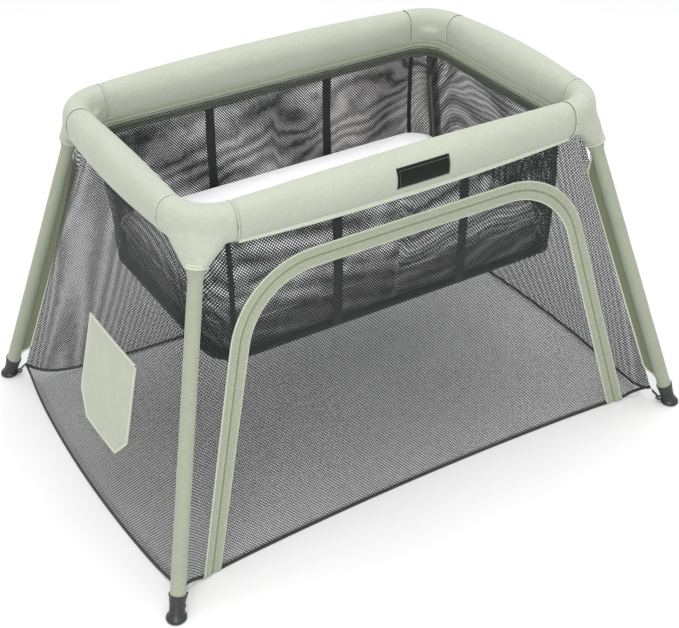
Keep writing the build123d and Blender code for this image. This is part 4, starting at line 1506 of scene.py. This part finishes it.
def build_floor_sheet():
    """Thin mat of the lower play space, in a middle piece and separate edge flaps."""
    cuts_x, cuts_y = (0.0, 0.76, 0.985), (-0.985, -0.76, 0.76, 0.985)
    for side, sx in SIDES.items():
        for i, (x0, x1) in enumerate(zip(cuts_x, cuts_x[1:])):
            for j, (y0, y1) in enumerate(zip(cuts_y, cuts_y[1:])):
                inner = i == 0 and j == 1
                name = f"floor_sheet_{side}" if inner else f"floor_flap_{i}{j}_{side}"
                piece = sheet(name, 16, 16, lambda s, t: floor_point(sx * mix(x0, x1, s), mix(y0, y1, t)))
                put(piece, floor_cloth, f"{side}_frame", *((f"floor_sheet_{side}",) if inner else ()),
                    slot="floor_cloth")
                sy = (-1, 0, 1)[j]
                if inner:
                    axis = Vector((0, 0, 1))
                elif i == 0:
                    axis = long_slope(0, sy)
                elif sy == 0:
                    axis = end_slope(sx)
                else:
                    axis = leg_up(sx, sy)
                gather(piece, axis)
                declare_sheet(piece)


# ---- Camera, light and stage ------------------------------------------------------------------------------

CAMERA_PLACE = (-1.1058, -1.8388, 1.6403)
CAMERA_YAW, CAMERA_PITCH, CAMERA_ROLL = -0.5473, 0.597, -0.0069
CAMERA_LENS, CAMERA_SENSOR = 69.5, 36.0


def build_camera():
    yaw, pitch, roll = CAMERA_YAW, CAMERA_PITCH, CAMERA_ROLL
    forward = Vector((-math.sin(yaw) * math.cos(pitch), math.cos(yaw) * math.cos(pitch), -math.sin(pitch)))
    right = Vector((math.cos(yaw), math.sin(yaw), 0))
    up = right.cross(forward)
    turned = right * math.cos(roll) + up * math.sin(roll)
    risen = up * math.cos(roll) - right * math.sin(roll)
    data = bpy.data.cameras.new("camera")
    data.lens, data.sensor_width = CAMERA_LENS, CAMERA_SENSOR
    camera = linked("camera", data)
    rotation = Matrix((turned, risen, -forward)).transposed()
    camera.matrix_world = Matrix.Translation(CAMERA_PLACE) @ rotation.to_4x4()
    bpy.context.scene.camera = camera


def area_light(name, place, target, size, watts):
    data = bpy.data.lights.new(name, "AREA")
    data.shape, data.size, data.energy = "DISK", size, watts
    light = linked(name, data)
    light.location = place
    light.rotation_mode = "QUATERNION"
    light.rotation_quaternion = (Vector(target) - Vector(place)).to_track_quat("-Z", "Y")


WORLD_LIGHT, KEY_WATTS, TOP_WATTS = 0.90, 80.0, 85.0


def build_stage():
    size, count = 9.0, 40
    spots = np.linspace(-size, size, count)
    floor = lattice("stage_floor", [[Vector((x, y, -0.0004)) for x in spots] for y in spots])
    g = Graph("stage_floor", Specular_IOR_Level=0.1)
    tone = g.ramp(g.noise(2.0, 2.0), [(0.3, (0.76, 0.76, 0.76, 1)), (0.7, (0.79, 0.79, 0.79, 1))])
    floor.data.materials.append(g.finish(tone, g.spread(g.noise(30.0, 2.0), 0.85, 0.95)))
    world = bpy.data.worlds.new("studio")
    world.use_nodes = True
    background = world.node_tree.nodes["Background"]
    background.inputs[0].default_value = (1.0, 1.0, 1.0, 1.0)
    background.inputs[1].default_value = WORLD_LIGHT
    bpy.context.scene.world = world
    area_light("key", (-2.0, -2.8, 2.5), (0, 0, 0.3), 2.4, KEY_WATTS)
    area_light("top", (0.3, 0.2, 4.0), (0, 0, 0), 3.5, TOP_WATTS)
    bpy.context.scene.view_settings.view_transform = "Standard"


front_pads = build_long_pads()
build_end_pads()
build_lips()
build_corner_covers()
build_seams()
build_legs()
build_feet()
build_arch()
build_front_nets()
build_other_nets()
build_hems()
build_pocket()
build_slider()
build_label(front_pads)
build_bassinet()
build_mattress()
build_floor_sheet()
build_camera()
build_stage()
